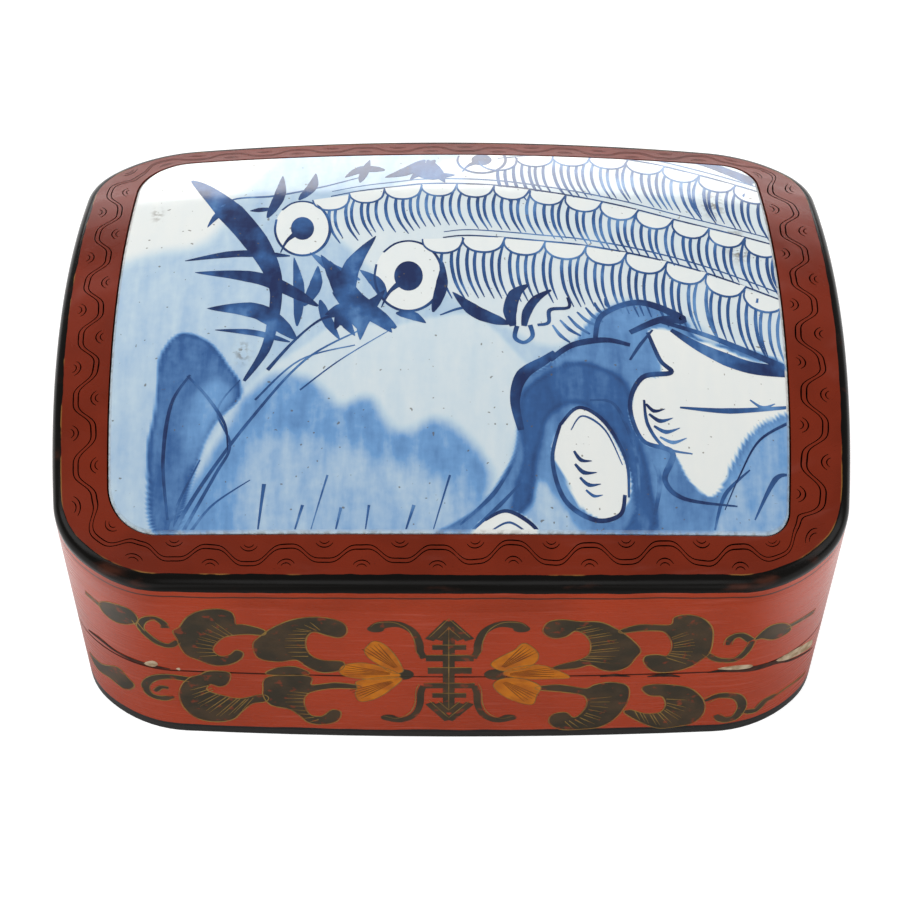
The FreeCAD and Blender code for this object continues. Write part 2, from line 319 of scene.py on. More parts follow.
def dome_normal(x, y):
    """Direction of the domed top at a place of the plan."""
    step = 0.5 * mm
    slope_x = (dome_z(x + step, y) - dome_z(x - step, y)) / (2 * step)
    slope_y = (dome_z(x, y + step) - dome_z(x, y - step)) / (2 * step)
    return Vector((-slope_x, -slope_y, 1)).normalized()


def new_piece(name, points, faces, material, uvs=None, facing=None):
    """Mesh object from points and faces; facing is the surface's own direction at each point."""
    mesh = bpy.data.meshes.new(name)
    mesh.from_pydata([tuple(p) for p in points], [], faces)
    if uvs:
        layer = mesh.uv_layers.new(name="UVMap")
        for loop in mesh.loops:
            layer.data[loop.index].uv = uvs[loop.vertex_index]
    mesh.shade_smooth()
    if facing:
        smooth = []
        for polygon in mesh.polygons:
            for index in polygon.vertices:
                smooth.append(facing[index] if polygon.normal.dot(facing[index]) > 0.85 else polygon.normal)
        mesh.normals_split_custom_set(smooth)
    mesh.materials.append(material)
    piece = bpy.data.objects.new(name, mesh)
    scene.collection.objects.link(piece)
    return piece


def mixed(tree, share, a, b):
    """Colour a turned into colour b by a share."""
    return add(tree, "Mix", {"data_type": "RGBA"}, _0=share, _6=a, _7=b).outputs[2]


def noise_at(tree, where, scale, detail=2.0, stretch=(1, 1, 1)):
    """Soft noise at a place, its grain drawn out along the axes by a low stretch."""
    moved = add(tree, "Mapping", None, Vector=where, Scale=stretch).outputs[0]
    return add(tree, "TexNoise", None, Vector=moved, Scale=scale, Detail=detail).outputs[0]


def bumped(tree, height, strength, distance):
    """Direction of a surface with a low relief."""
    return add(tree, "Bump", None, Strength=strength, Distance=distance, Height=height).outputs[0]


def shader_group(name, inputs, outputs):
    """Empty shader group with these sockets."""
    group = bpy.data.node_groups.new(name, "ShaderNodeTree")
    for title, kind, value in inputs:
        socket = group.interface.new_socket(title, in_out="INPUT", socket_type="NodeSocket" + kind)
        socket.default_value = value
    for title, kind in outputs:
        group.interface.new_socket(title, in_out="OUTPUT", socket_type="NodeSocket" + kind)
    return group, group.nodes.new("NodeGroupInput").outputs, group.nodes.new("NodeGroupOutput").inputs


def apply_group(tree, group, **values):
    """Puts a shader group into a tree and gives its outputs."""
    made = tree.nodes.new("ShaderNodeGroup")
    made.node_tree = group
    for name, value in values.items():
        put(tree, made.inputs[name], value)
    return made.outputs


old_lacquer, given, out = shader_group(
    "old_lacquer", [("Colour", "Color", (0.5, 0.1, 0.1, 1)), ("Clouding", "Float", 0.5),
                    ("Gloss", "Float", 0.2)],
    [("Colour", "Color"), ("Roughness", "Float"), ("Normal", "Vector")])
tree = old_lacquer
where = object_place(tree)
cloud = ramped(tree, noise_at(tree, where, 55.0, 5.0), 0.35, 0.7)
streak = noise_at(tree, where, 60.0, 6.0, (1.0, 1.0, 14.0))
speck = ramped(tree, noise_at(tree, where, 1500.0, 1.0), 0.72, 0.76)
deep = add(tree, "HueSaturation", None, Saturation=1.1, Value=0.62, Color=given["Colour"]).outputs[0]
pale = add(tree, "HueSaturation", None, Saturation=0.85, Value=1.35, Color=given["Colour"]).outputs[0]
colour = mixed(tree, times(tree, cloud, given["Clouding"]), given["Colour"], deep)
colour = mixed(tree, ramped(tree, streak, 0.55, 0.8, 0.0, 0.35), colour, pale)
put(tree, out["Colour"], mixed(tree, times(tree, speck, 0.55), colour, deep))
put(tree, out["Roughness"], plus(tree, given["Gloss"], ramped(tree, streak, 0.3, 0.8, 0.0, 0.14)))
ripple = plus(tree, streak, times(tree, speck, -0.3))
put(tree, out["Normal"], bumped(tree, ripple, 0.12, 0.2 * mm))

red_lacquer, tree, shader = new_material("red_lacquer")
surface = apply_group(tree, old_lacquer, Colour=lacquer_red, Clouding=0.35, Gloss=0.2)
height = object_xyz(tree)[2]
wobble = noise_at(tree, object_place(tree), 90.0, 2.0, (1.0, 1.0, 0.0))
foot = plus(tree, height, times(tree, wobble, -foot_waver))
foot = ramped(tree, foot, foot_band - 0.1 * mm, foot_band + 0.1 * mm, 1.0, 0.0)
# Painted shade: a near-black line along the seam on both bodies. It stands in for the shade in the gap
# between lid and base, and for lacquer worn at its edges. It is made rough so that it does not shine.
gap = plus(tree, apart(tree, height, seam_z), times(tree, wobble, seam_shade_waver))
gap = ramped(tree, gap, seam_shade_reach, seam_shade_reach + 0.17 * mm, 0.92, 0.0)
colour = mixed(tree, gap, surface["Colour"], (0.022, 0.006, 0.004))
put(tree, shader.inputs["Base Color"], mixed(tree, foot, colour, lacquer_black))
put(tree, shader.inputs["Roughness"], math_node(tree, "MAXIMUM", surface["Roughness"], gap))
put(tree, shader.inputs["Normal"], surface["Normal"])
shader.inputs["Specular IOR Level"].default_value = 0.27

seam_bevel = 0.28 * mm
arch_axis = apex_z - jar_radius
crown_drop = crown_radius - math.sqrt(crown_radius ** 2 - half_length ** 2)
frame_under_radius = jar_radius - crown_drop - frame_thickness


def arch_z(y, radius=frame_under_radius):
    """Height of the round underside that the frame is bent over."""
    return arch_axis + math.sqrt(radius ** 2 - y * y)


def wall_piece(name, u0, u1, thickness, of_lid):
    """Closed board between two places on the outline, eased at the seam; the lid's go up to the frame."""
    columns = max(8, round((u1 - u0) / board_column))
    rows = 10
    points, uvs, facing, faces = [], [], [], []
    for side, inset in (("out", 0.0), ("in", thickness)):
        for i in range(columns + 1):
            u = u0 + (u1 - u0) * i / columns
            p, outwards = on_outline(u, inset)
            low, high = (seam_z, arch_z(p.y)) if of_lid else (floor_board_z, seam_z)
            for j in range(rows + 1):
                z = low + (high - low) * j / rows
                q = p
                if side == "out":
                    near_seam = j if of_lid else rows - j
                    if near_seam == 0:
                        q = on_outline(u, seam_bevel)[0]
                    elif near_seam == 1:
                        z = seam_z + (seam_bevel if of_lid else -seam_bevel)
                facing.append(outwards if side == "out" else -outwards)
                points.append(Vector((q.x, q.y, z)))
                uvs.append((u, z))
    stride = rows + 1
    inner = (columns + 1) * stride
    for i in range(columns):
        for j in range(rows):
            a = i * stride + j
            faces.append((a, a + stride, a + stride + 1, a + 1))
            faces.append((inner + a, inner + a + 1, inner + a + stride + 1, inner + a + stride))
        a, b = i * stride, i * stride + rows
        faces.append((a, inner + a, inner + a + stride, a + stride))
        faces.append((b, b + stride, inner + b + stride, inner + b))
    for j in range(rows):
        a, b = j, columns * stride + j
        faces.append((a, a + 1, inner + a + 1, inner + a))
        faces.append((b, inner + b, inner + b + 1, b + 1))
    return new_piece(name, points, faces, red_lacquer, uvs, facing)


def board_ends():
    """Places along the outline where boards and corner blocks meet, for each named piece."""
    quarter_run = perimeter / 4
    step = 0.1 * mm
    u = 0.0
    while on_outline(u)[0].x < half_length - corner_block:
        u += step
    front_end = u
    while on_outline(u)[0].y < -(half_width - corner_block):
        u += step
    side_start = u
    half = perimeter / 2
    return {"front_board": (-front_end, front_end), "corner_front_right": (front_end, side_start),
            "right_board": (side_start, 2 * quarter_run - side_start),
            "corner_back_right": (half - side_start, half - front_end),
            "back_board": (half - front_end, half + front_end),
            "corner_back_left": (half + front_end, half + side_start),
            "left_board": (half + side_start, perimeter - side_start),
            "corner_front_left": (perimeter - side_start, perimeter - front_end)}


for place, (u0, u1) in board_ends().items():
    for body, thickness in (("base", base_wall), ("lid", lid_wall)):
        board = wall_piece(body + "_" + place + "_lacquered", u0, u1, thickness, body == "lid")
        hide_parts(body + "_" + place)
        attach(board, body)


# Top frame of the lid. A domed wooden frame with a red lacquer face, a rounded edge in black that
# runs down onto the walls, and under that a thin dark line. Its opening holds the piece of old jar.
arris_radius = 2.4 * mm
border_left, border_right, border_front, border_back = 12.8 * mm, 13.9 * mm, 10.7 * mm, 7.5 * mm
window_bow_long, window_bow_short = 1.5 * mm, 2.2 * mm
window_corners = {"front_right": 6.0 * mm, "back_right": 9.0 * mm,
                  "back_left": 13.0 * mm, "front_left": 12.0 * mm}
window_ease = 0.4 * mm
band_down, band_in, band_fade = 3.0 * mm, 2.2 * mm, 0.12 * mm
side_line_down = band_down + 2.05 * mm
gilt_line_in = band_in + 0.1 * mm
past_the_paint = 20 * mm


def circle_through(a, b, c):
    """Centre and radius of the circle through three points of the plane."""
    p, q = b - a, c - a
    d = 2 * p.cross(q)
    centre = a + Vector((q.y * p.dot(p) - p.y * q.dot(q), p.x * q.dot(q) - q.x * p.dot(p))) / d
    return centre, (centre - a).length


def window_outline(shrink=0.0):
    """Arcs of the opening, as (centre, radius, from, to), from the front side on and drawn in by shrink."""
    x0, x1 = -half_length + border_left + shrink, half_length - border_right - shrink
    y0, y1 = -half_width + border_front + shrink, half_width - border_back - shrink
    xm, ym = (x0 + x1) / 2, (y0 + y1) / 2
    long_bow, short_bow = window_bow_long, window_bow_short
    near_x, far_x, near_y, far_y = x0 + short_bow, x1 - short_bow, y0 + long_bow, y1 - long_bow
    corners = [Vector(c) for c in ((near_x, near_y), (far_x, near_y), (far_x, far_y), (near_x, far_y))]
    middles = [Vector(m) for m in ((xm, y0), (x1, ym), (xm, y1), (x0, ym))]
    sides = [circle_through(corners[i], middles[i], corners[(i + 1) % 4]) for i in range(4)]
    rounds = []
    for i, radius in enumerate(window_corners.values()):
        radius -= shrink
        (a, ra), (b, rb) = sides[i], sides[(i + 1) % 4]
        ra, rb = ra - radius, rb - radius
        gap = (b - a).length
        along = (ra * ra - rb * rb + gap * gap) / (2 * gap)
        across = math.sqrt(ra * ra - along * along)
        d = (b - a) / gap
        found = [a + d * along + Vector((-d.y, d.x)) * across * k for k in (1, -1)]
        rounds.append((min(found, key=lambda c: (c - corners[(i + 1) % 4]).length), radius))
    arcs = []
    for i in range(4):
        side, radius = sides[i]
        before, after = rounds[i - 1][0], rounds[i][0]
        start, end = (math.atan2(*(c - side).yx) for c in (before, after))
        arcs.append((side, radius, start, start + (end - start) % (2 * math.pi)))
        start = end
        end = math.atan2(*(after - sides[(i + 1) % 4][0]).yx)
        arcs.append((*rounds[i], start, start + (end - start) % (2 * math.pi)))
    return arcs


flat_front = outline[0][2] * math.radians(front_turn)
flat_side = outline[4][2] * math.radians(side_turn)
turn_run = perimeter / 4 - flat_front - flat_side


def window_at(u, arcs):
    """Point of the window's edge that faces the place u on the outline, and the way into the opening."""
    runs = []
    for k in range(4):
        flat = flat_front if k % 2 == 0 else flat_side
        runs += [2 * flat, turn_run]
    left = (u + flat_front) % perimeter
    for (centre, radius, start, end), run in zip(arcs, runs):
        if left <= run:
            angle = start + (end - start) * left / run
            way = Vector((math.cos(angle), math.sin(angle)))
            return centre + way * radius, -way
        left -= run
    return window_at(0.0, arcs)


def frame_piece():
    """Closed ring: up the outside, round the edge, over the dome to the window, down and back beneath."""
    arcs = window_outline()
    columns, side_rows, turn_rows, top_rows, under_rows = 900, 5, 7, 16, 4
    points, uvs, facing, faces = [], [], [], []
    for i in range(columns):
        u = perimeter * i / columns
        edge, outwards = on_outline(u)
        corner_z = dome_z(edge.x, edge.y)
        under = arch_z(edge.y)
        for j in range(side_rows):
            z = under + (corner_z - arris_radius - under) * j / side_rows
            points.append(Vector((edge.x, edge.y, z)))
            uvs.append((u, z - corner_z))
            facing.append(outwards)
        for j in range(turn_rows):
            angle = math.radians(90) * j / turn_rows
            p = on_outline(u, arris_radius * (1 - math.cos(angle)))[0]
            z = dome_z(p.x, p.y) - arris_radius * (1 - math.sin(angle))
            points.append(Vector((p.x, p.y, z)))
            uvs.append((u, arris_radius * (2 * j / turn_rows - 1)))
            turned = outwards * math.cos(angle) + dome_normal(p.x, p.y) * math.sin(angle)
            facing.append(turned.normalized())
        start = on_outline(u, arris_radius)[0].xy
        inner_edge, inwards = window_at(u, arcs)
        for j in range(top_rows + 1):
            p = start.lerp(inner_edge, j / top_rows)
            points.append(Vector((p.x, p.y, dome_z(p.x, p.y))))
            uvs.append((u, arris_radius + (p - start).length))
            facing.append(dome_normal(p.x, p.y))
        for z in (dome_z(*inner_edge) - window_ease, arch_z(inner_edge.y)):
            points.append(Vector((inner_edge.x, inner_edge.y, z)))
            uvs.append((u, past_the_paint))
            facing.append(Vector((inwards.x, inwards.y, 0)))
        for j in range(1, under_rows):
            p = inner_edge.lerp(edge.xy, j / under_rows)
            points.append(Vector((p.x, p.y, arch_z(p.y))))
            uvs.append((u, past_the_paint))
            facing.append(Vector((0, 0, -1)))
    stride = len(points) // columns
    for i in range(columns):
        for j in range(stride):
            a, b = i * stride, (i + 1) % columns * stride
            k = (j + 1) % stride
            faces.append((a + j, b + j, b + k, a + k))
    return points, faces, uvs, facing


top_lacquer, tree, shader = new_material("top_lacquer")
where = object_place(tree)
wobble = noise_at(tree, where, 120.0, 3.0)
across = add(tree, "SeparateXYZ", None, Vector=add(tree, "UVMap").outputs[0]).outputs[1]
across = plus(tree, across, times(tree, minus(tree, wobble, 0.5), 1.1 * mm))
upper = ramped(tree, across, -0.6 * mm, 0.8 * mm)
surface = apply_group(tree, old_lacquer, Colour=mixed(tree, upper, lacquer_red, (0.175, 0.0165, 0.0030)),
                      Clouding=0.6, Gloss=0.24)
band = times(tree, ramped(tree, across, -band_down - band_fade, -band_down),
             ramped(tree, across, band_in, band_in + band_fade, 1.0, 0.0))
rubbed = ramped(tree, noise_at(tree, where, 160.0, 5.0, (0.35, 1.0, 1.0)), 0.56, 0.72, 0.0, 0.75)
on_edge = ramped(tree, apart(tree, across, -0.3 * mm), 0.4 * mm, 2.4 * mm, 1.0, 0.25)
black = mixed(tree, times(tree, rubbed, on_edge), lacquer_black, (0.075, 0.022, 0.012))
line = ramped(tree, apart(tree, across, -side_line_down), 0.22 * mm, 0.34 * mm, 0.85, 0.0)
gilt = ramped(tree, apart(tree, across, gilt_line_in), 0.1 * mm, 0.2 * mm, 1.0, 0.0)
gilt = times(tree, gilt, ramped(tree, wobble, 0.5, 0.62, 0.0, 0.6))
colour = mixed(tree, band, mixed(tree, line, surface["Colour"], (0.030, 0.014, 0.009)), black)
put(tree, shader.inputs["Base Color"], mixed(tree, gilt, colour, (0.30, 0.15, 0.035)))
smoother = ramped(tree, band, 0, 1, 1.0, 0.75)
put(tree, shader.inputs["Roughness"], times(tree, surface["Roughness"], smoother))
put(tree, shader.inputs["Normal"], surface["Normal"])
put(tree, shader.inputs["Specular IOR Level"], ramped(tree, band, 0, 1, 0.22, 0.11))

points, faces, uvs, facing = frame_piece()
top_frame = new_piece("lid_top_frame_lacquered", points, faces, top_lacquer, uvs, facing)
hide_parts("lid_top_frame")
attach(top_frame, "lid")


# Piece of old jar. Glazed blue and white china, ground to the shape of the opening with a dark
# ground edge, and kept as curved as the jar was. It stands a little proud of the frame.
shard_thickness, shard_play, shard_edge = 3.8 * mm, 0.35 * mm, 0.6 * mm
glaze_roughness, glaze_specular = 0.1, 0.4
panel_sheet = (40, 80)
sheet_enlarged = 2
picture_middle = picture_pixels / 2
wash_drift, drift_grain = 0.9 * mm, 110
ground_tone, rim_tone, rim_width = 0.225, 0.09, 0.5 * mm


def shard_z(x, y):
    """Height of the china's face, which stands a little above the frame's dome."""
    return dome_z(x, y, -shard_proud)


def shard_piece():
    """Closed slab: rings that close in on the middle for the face, then the ground edge and the back."""
    outer, inner = window_outline(shard_play), window_outline(shard_play + shard_edge)
    columns, rings = 700, 110
    middle = Vector(((border_left - border_right) / 2, (border_front - border_back) / 2))
    points, uvs, facing, faces = [], [], [], []
    face_edge = [window_at(perimeter * i / columns, inner) for i in range(columns)]
    side_edge = [window_at(perimeter * i / columns, outer) for i in range(columns)]
    loops = []
    for k in range(1, rings + 1):
        loops.append([(middle.lerp(p, k / rings), 0.0, None) for p, way in face_edge])
    loops.append([(p, shard_edge, way) for p, way in side_edge])
    loops.append([(p, shard_thickness, way) for p, way in side_edge])
    for loop in loops:
        for p, down, way in loop:
            points.append(Vector((p.x, p.y, shard_z(p.x, p.y) - down)))
            uvs.append((p.x, p.y))
            facing.append(dome_normal(p.x, p.y) if way is None else Vector((-way.x, -way.y, 0)))
    for k in range(len(loops) - 1):
        for i in range(columns):
            a, b = k * columns + i, k * columns + (i + 1) % columns
            faces.append((a, b, b + columns, a + columns)[::-1])
    for depth, last in ((0.0, 0), (shard_thickness, (len(loops) - 1) * columns)):
        hub = len(points)
        points.append(Vector((middle.x, middle.y, shard_z(*middle) - depth)))
        uvs.append(tuple(middle))
        facing.append(Vector((0, 0, -1)) if depth else dome_normal(*middle))
        for i in range(columns):
            a, b = last + i, last + (i + 1) % columns
            faces.append((hub, b, a) if depth else (hub, a, b))
    return points, faces, uvs, facing


cobalt_glaze, given, out = shader_group(
    "cobalt_glaze", [("Tone", "Float", 0.0)], [("Colour", "Color"), ("Normal", "Vector")])
tree = cobalt_glaze
where = object_place(tree)
brushing = times(tree, minus(tree, noise_at(tree, where, 140.0, 6.0, (2.2, 0.45, 1.0)), 0.5), 0.85)
pooling = times(tree, minus(tree, noise_at(tree, where, 520.0, 3.0), 0.5), 0.3)
spread = times(tree, plus(tree, brushing, pooling), ramped(tree, given["Tone"], 0.0, 0.45, 0.1, 1.0))
tone = plus(tree, given["Tone"], times(tree, spread, 0.5))
blues = add(tree, "ValToRGB", None, Fac=tone)
blues.color_ramp.elements[0].color = (0.76, 0.775, 0.745, 1)
blues.color_ramp.elements[1].color = (0.008, 0.020, 0.085, 1)
for at, blue in ((0.16, (0.49, 0.61, 0.69)), (0.42, (0.145, 0.31, 0.57)), (0.70, (0.030, 0.100, 0.275))):
    blues.color_ramp.elements.new(at).color = (*blue, 1)
pit = times(tree, ramped(tree, noise_at(tree, where, 1100.0, 0.0), 0.81, 0.85), 0.7)
put(tree, out["Colour"], mixed(tree, pit, blues.outputs[0], (0.10, 0.085, 0.06)))
put(tree, out["Normal"], bumped(tree, noise_at(tree, where, 240.0, 2.0), 0.05, 0.4 * mm))

old_porcelain, tree, shader = new_material("old_porcelain")
washes = add(tree, "Attribute", {"attribute_name": "wash"}).outputs["Fac"]
surface = apply_group(tree, cobalt_glaze, Tone=washes)
stain = add(tree, "Attribute", {"attribute_name": "stain"}).outputs["Fac"]
stain = times(tree, stain, ramped(tree, noise_at(tree, object_place(tree), 700.0, 4.0), 0.45, 0.62))
put(tree, shader.inputs["Base Color"], mixed(tree, stain, surface["Colour"], (0.11, 0.075, 0.035)))
put(tree, shader.inputs["Normal"], surface["Normal"])
set_sheen(shader, glaze_roughness, glaze_specular)


def sight(cx, cy):
    """Start and direction of the camera's ray through a place in a sheet laid over the picture."""
    across = panel_sheet[0] + cx / sheet_enlarged - picture_middle
    down = panel_sheet[1] + cy / sheet_enlarged - picture_middle
    return aim + back * camera_distance, right * across / focal_pixels - up * down / focal_pixels - back


def on_panel(cx, cy):
    """Plan position on the china of a place in that sheet, found in a few rounds."""
    start, way = sight(cx, cy)
    y_limit = half_width + 10 * mm
    z = apex_z
    for turn in range(14):
        p = start + way * ((z - start.z) / way.z)
        x, y = max(-half_length, min(half_length, p.x)), max(-y_limit, min(y_limit, p.y))
        z = shard_z(x, y)
    return Vector((p.x, p.y))


def smooth_run(points, closed=False, steps=8):
    """Even curve through a few given points."""
    points = [Vector(p) for p in points]
    count = len(points)
    found = []
    for i in range(count if closed else count - 1):
        p0 = points[i - 1] if closed or i else points[0]
        p1, p2 = points[i], points[(i + 1) % count]
        p3 = points[(i + 2) % count] if closed or i + 2 < count else points[-1]
        for k in range(steps):
            t = k / steps
            found.append(0.5 * (2 * p1 + (p2 - p0) * t + (2 * p0 - 5 * p1 + 4 * p2 - p3) * t * t
                                + (3 * p1 - p0 - 3 * p2 + p3) * t ** 3))
    return found if closed else found + [points[-1]]


def panel_run(points, closed=False, steps=8):
    """Even curve on the china through places in the sheet."""
    return smooth_run([on_panel(*p) for p in points], closed, steps)


def depth_inside(points, loop):
    """Distance of each point to the loop's edge, positive inside it."""
    loop = np.array([tuple(p) for p in loop])
    after = np.roll(loop, -1, axis=0)
    nearest = np.full(len(points), 1.0)
    inside = np.zeros(len(points), bool)
    for a, b in zip(loop, after):
        d = b - a
        along = np.clip(((points - a) @ d) / max(d @ d, 1e-12), 0, 1)
        nearest = np.minimum(nearest, np.hypot(*(points - a - along[:, None] * d).T))
        crosses = (a[1] > points[:, 1]) != (b[1] > points[:, 1])
        side = (points[:, 1] - a[1]) * d[0] - (points[:, 0] - a[0]) * d[1]
        inside ^= crosses & ((side > 0) == (d[1] > 0)) & (d[1] != 0)
    return np.where(inside, nearest, -nearest)


# Washes of thinned cobalt. Each is a loop in the sheet, the tone of its blue and the width in
# millimetres over which its edge runs out; a dark sharp one dried with a rim.
hill = [(255, 950), (300, 800), (360, 690), (430, 600), (520, 535), (610, 480), (700, 492), (790, 470),
        (880, 478),
        (950, 540), (985, 590), (955, 690), (935, 790), (900, 860), (850, 950)]
hill_shade = [(250, 960), (330, 770), (400, 650), (470, 590), (540, 600), (600, 650), (660, 640),
              (720, 700),
              (800, 680), (870, 730), (900, 800), (880, 870), (800, 960)]
hill_foot = [(430, 730), (560, 720), (700, 760), (840, 820), (870, 960), (420, 960)]
stone_light = [(300, 640), (350, 600), (385, 630), (340, 700), (310, 770), (290, 720)]
left_stone = [(225, 900), (216, 780), (228, 660), (240, 560), (275, 508), (330, 515), (375, 570),
              (402, 625),
              (350, 690), (318, 760), (290, 850), (268, 900)]
rocks = [(780, 960), (880, 850), (940, 770), (960, 650), (955, 600), (1010, 570), (1075, 520), (1120, 465),
         (1190, 440),
         (1290, 480), (1330, 520), (1500, 590), (1520, 950)]
rock_lights = [(870, 960), (960, 880), (1000, 800), (1060, 880), (1100, 960)]
rock_core = [(960, 640), (1010, 585), (1080, 560), (1170, 600), (1200, 700), (1220, 790), (1230, 900),
             (1150, 930),
             (1185, 850), (1160, 740), (1090, 655), (1030, 670), (1000, 740), (985, 840), (940, 870),
             (960, 760)]
egg = [(1040, 690), (1075, 655), (1125, 680), (1165, 750), (1180, 830), (1150, 885), (1100, 870),
       (1055, 810), (1030, 740)]
facet = [(1215, 505), (1260, 500), (1400, 550), (1530, 600), (1530, 650), (1440, 690), (1390, 760),
         (1345, 830),
         (1300, 800), (1265, 745), (1205, 725), (1180, 660), (1200, 600), (1240, 590), (1235, 550)]
small_egg = [(850, 960), (880, 885), (930, 862), (985, 890), (1010, 960)]
corner_wash = [(1340, 960), (1360, 850), (1400, 760), (1450, 700), (1530, 680), (1530, 960)]
feather_ground = [(560, 255), (700, 218), (900, 145), (1530, 145), (1530, 640), (1300, 480), (1190, 440),
                  (1120, 465),
                  (1060, 520), (975, 520), (820, 430), (720, 420), (610, 330)]
bare_corner = [(100, 100), (500, 100), (400, 230), (340, 320), (240, 345), (100, 352)]
washed = [
    (bare_corner, 0.02, 6.0), (feather_ground, 0.09, 3.0), (hill, 0.115, 1.6), (hill_shade, 0.44, 4.2),
    (hill_foot, 0.30, 7.0), (left_stone, 0.64, 0.9), (stone_light, 0.48, 3.0), (rocks, 0.54, 0.8),
    (rock_lights, 0.28, 2.0), (rock_core, 0.70, 1.8), (small_egg, 0.01, 0.4), (egg, 0.01, 0.4),
    (facet, 0.01, 0.5), (corner_wash, 0.36, 1.6)]
stains = [(1345, 248, 4.5), (1385, 320, 4.0), (405, 545, 2.5), (1400, 345, 3.0), (235, 270, 2.0)]

points, faces, uvs, facing = shard_piece()
plan = np.array([(p.x, p.y) for p in points])
drift = np.array([noise.noise(Vector((p.x * drift_grain, p.y * drift_grain,
                                      0.0))) for p in points]) * wash_drift
wash = np.full(len(points), ground_tone)
for loop, tone, softness in washed:
    soft = softness * mm
    depth = depth_inside(plan, panel_run(loop, True)) + drift
    share = np.clip(depth / soft + 0.5, 0, 1)
    share = share * share * (3 - 2 * share)
    dries_with_rim = (tone > 0.3) * (softness < 3)
    rim = np.exp(-((depth - 0.5 * soft) / rim_width) ** 2) * rim_tone * dries_with_rim
    wash = wash * (1 - share) + tone * share + rim * share
stained = np.zeros(len(points))
for cx, cy, size in stains:
    spot = on_panel(cx, cy)
    stained += 0.75 * np.exp(-((plan[:, 0] - spot.x) ** 2 * 3 + (plan[:,
                                                                      1] - spot.y) ** 2) / (size * mm) ** 2)
shard_arcs = window_outline(shard_play)
edge_depth = depth_inside(plan, [window_at(perimeter * i / 240, shard_arcs)[0] for i in range(240)])
stained += np.clip(1.0 - edge_depth / (0.4 * mm), 0, 1) * 0.5
ground_edge = np.array([way.z < 0.2 for way in facing])
wash[ground_edge] *= 0.55

shard = new_piece("porcelain_shard_glazed", points, faces, old_porcelain, uvs, facing)
for title, values in (("wash", wash), ("stain", np.clip(stained, 0, 1))):
    shard.data.attributes.new(title, "FLOAT", "POINT").data.foreach_set("value", values)
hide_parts("porcelain_shard")
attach(shard, "lid")


# Brushwork on the china. Cobalt strokes of one old jar, under the glaze and cut through where the
# piece was ground to shape: sprigs of leaves, tail feathers with eyes, rocks and grass.


def fill(drawing, loop, step=4.0 * mm):
    """Fills a loop, cut along a grid so that it can follow a bent surface."""
    area = sum(a.x * b.y - b.x * a.y for a, b in zip(loop, loop[1:] + loop[:1]))
    loop = loop if area > 0 else loop[::-1]
    made = drawing.faces.new([drawing.verts.new((p.x, p.y, 0)) for p in loop])
    made.normal_update()
    faces = bmesh.ops.triangulate(drawing, faces=[made])["faces"]
    for axis in (0, 1):
        low, high = min(p[axis] for p in loop), max(p[axis] for p in loop)
        cut = (math.floor(low / step) + 1) * step
        while cut < high:
            geometry = {e for f in faces for e in (f, *f.edges, *f.verts)}
            where = Vector((cut, 0, 0)) if axis == 0 else Vector((0, cut, 0))
            cutting = bmesh.ops.bisect_plane(drawing, geom=list(geometry), plane_co=where,
                                             plane_no=where.normalized())
            faces = [e for e in cutting["geom"] if isinstance(e, bmesh.types.BMFace)]
            cut += step


def way_at(line, i):
    """Direction of a line at its point number i."""
    return (line[min(i + 1, len(line) - 1)] - line[max(i - 1, 0)]).normalized()


def stroke(drawing, line, *widths):
    """Brush stroke along a line, its widths in millimetres spread evenly from start to end."""
    widths = widths if len(widths) > 1 else widths * 2
    rows = []
    for i, p in enumerate(line):
        way = way_at(line, i)
        at = i / (len(line) - 1) * (len(widths) - 1)
        k = min(int(at), len(widths) - 2)
        width = (widths[k] + (widths[k + 1] - widths[k]) * (at - k)) * mm
        side = Vector((-way.y, way.x)) * width / 2
        rows.append([drawing.verts.new((q.x, q.y, 0)) for q in (p + side, p - side)])
    for (a, b), (c, d) in zip(rows, rows[1:]):
        drawing.faces.new((b, d, c, a))


def trim(drawing, where, outwards):
    """Takes away what lies beyond a line."""
    geometry = drawing.verts[:] + drawing.edges[:] + drawing.faces[:]
    bmesh.ops.bisect_plane(drawing, geom=geometry, plane_co=(*where, 0), plane_no=(*outwards, 0),
                           clear_outer=True)


def laid(drawing, name, place, material, lift=0.03 * mm, sink=0.05 * mm):
    """Closed thin skin made of a flat drawing; place gives the point and direction of the surface."""
    drawing.verts.index_update()
    spots = [place(v.co.x, v.co.y) for v in drawing.verts]
    count = len(spots)
    points = [p + way * lift for p, way in spots] + [p - way * sink for p, way in spots]
    facing = [way for p, way in spots] + [-way for p, way in spots]
    uvs = [(v.co.x, v.co.y) for v in drawing.verts] * 2
    faces = []
    for face in drawing.faces:
        ring = [v.index for v in face.verts]
        faces += [ring, [count + i for i in reversed(ring)]]
        for loop in face.loops:
            if len(loop.edge.link_faces) == 1:
                a, b = loop.vert.index, loop.link_loop_next.vert.index
                faces.append((b, a, count + a, count + b))
    drawing.free()
    return new_piece(name, points, faces, material, uvs, facing)


def on_china(x, y):
    """Point and direction of the china's face."""
    return Vector((x, y, shard_z(x, y))), dome_normal(x, y)


def flat_place(x, y):
    """Point and direction of the ground plane, for a motif that a node group lays out."""
    return Vector((x, y, 0)), Vector((0, 0, 1))


def brushed_blue(name, tone):
    """Cobalt that was brushed on: dark where it pooled, thin where the brush ran dry."""
    material, tree, shader = new_material(name)
    where = object_place(tree)
    dry = 0.34 * tone
    thinned = ramped(tree, noise_at(tree, where, 75.0, 5.0), 0.44, 0.66, 0.0, dry)
    surface = apply_group(tree, cobalt_glaze, Tone=minus(tree, tone, thinned))
    put(tree, shader.inputs["Base Color"], surface["Colour"])
    put(tree, shader.inputs["Normal"], surface["Normal"])
    set_sheen(shader, glaze_roughness, glaze_specular)
    return material


navy = brushed_blue("navy_stroke", 0.97)
strong_blue = brushed_blue("blue_stroke", 0.80)
white_reserve = brushed_blue("white_reserve", 0.03)


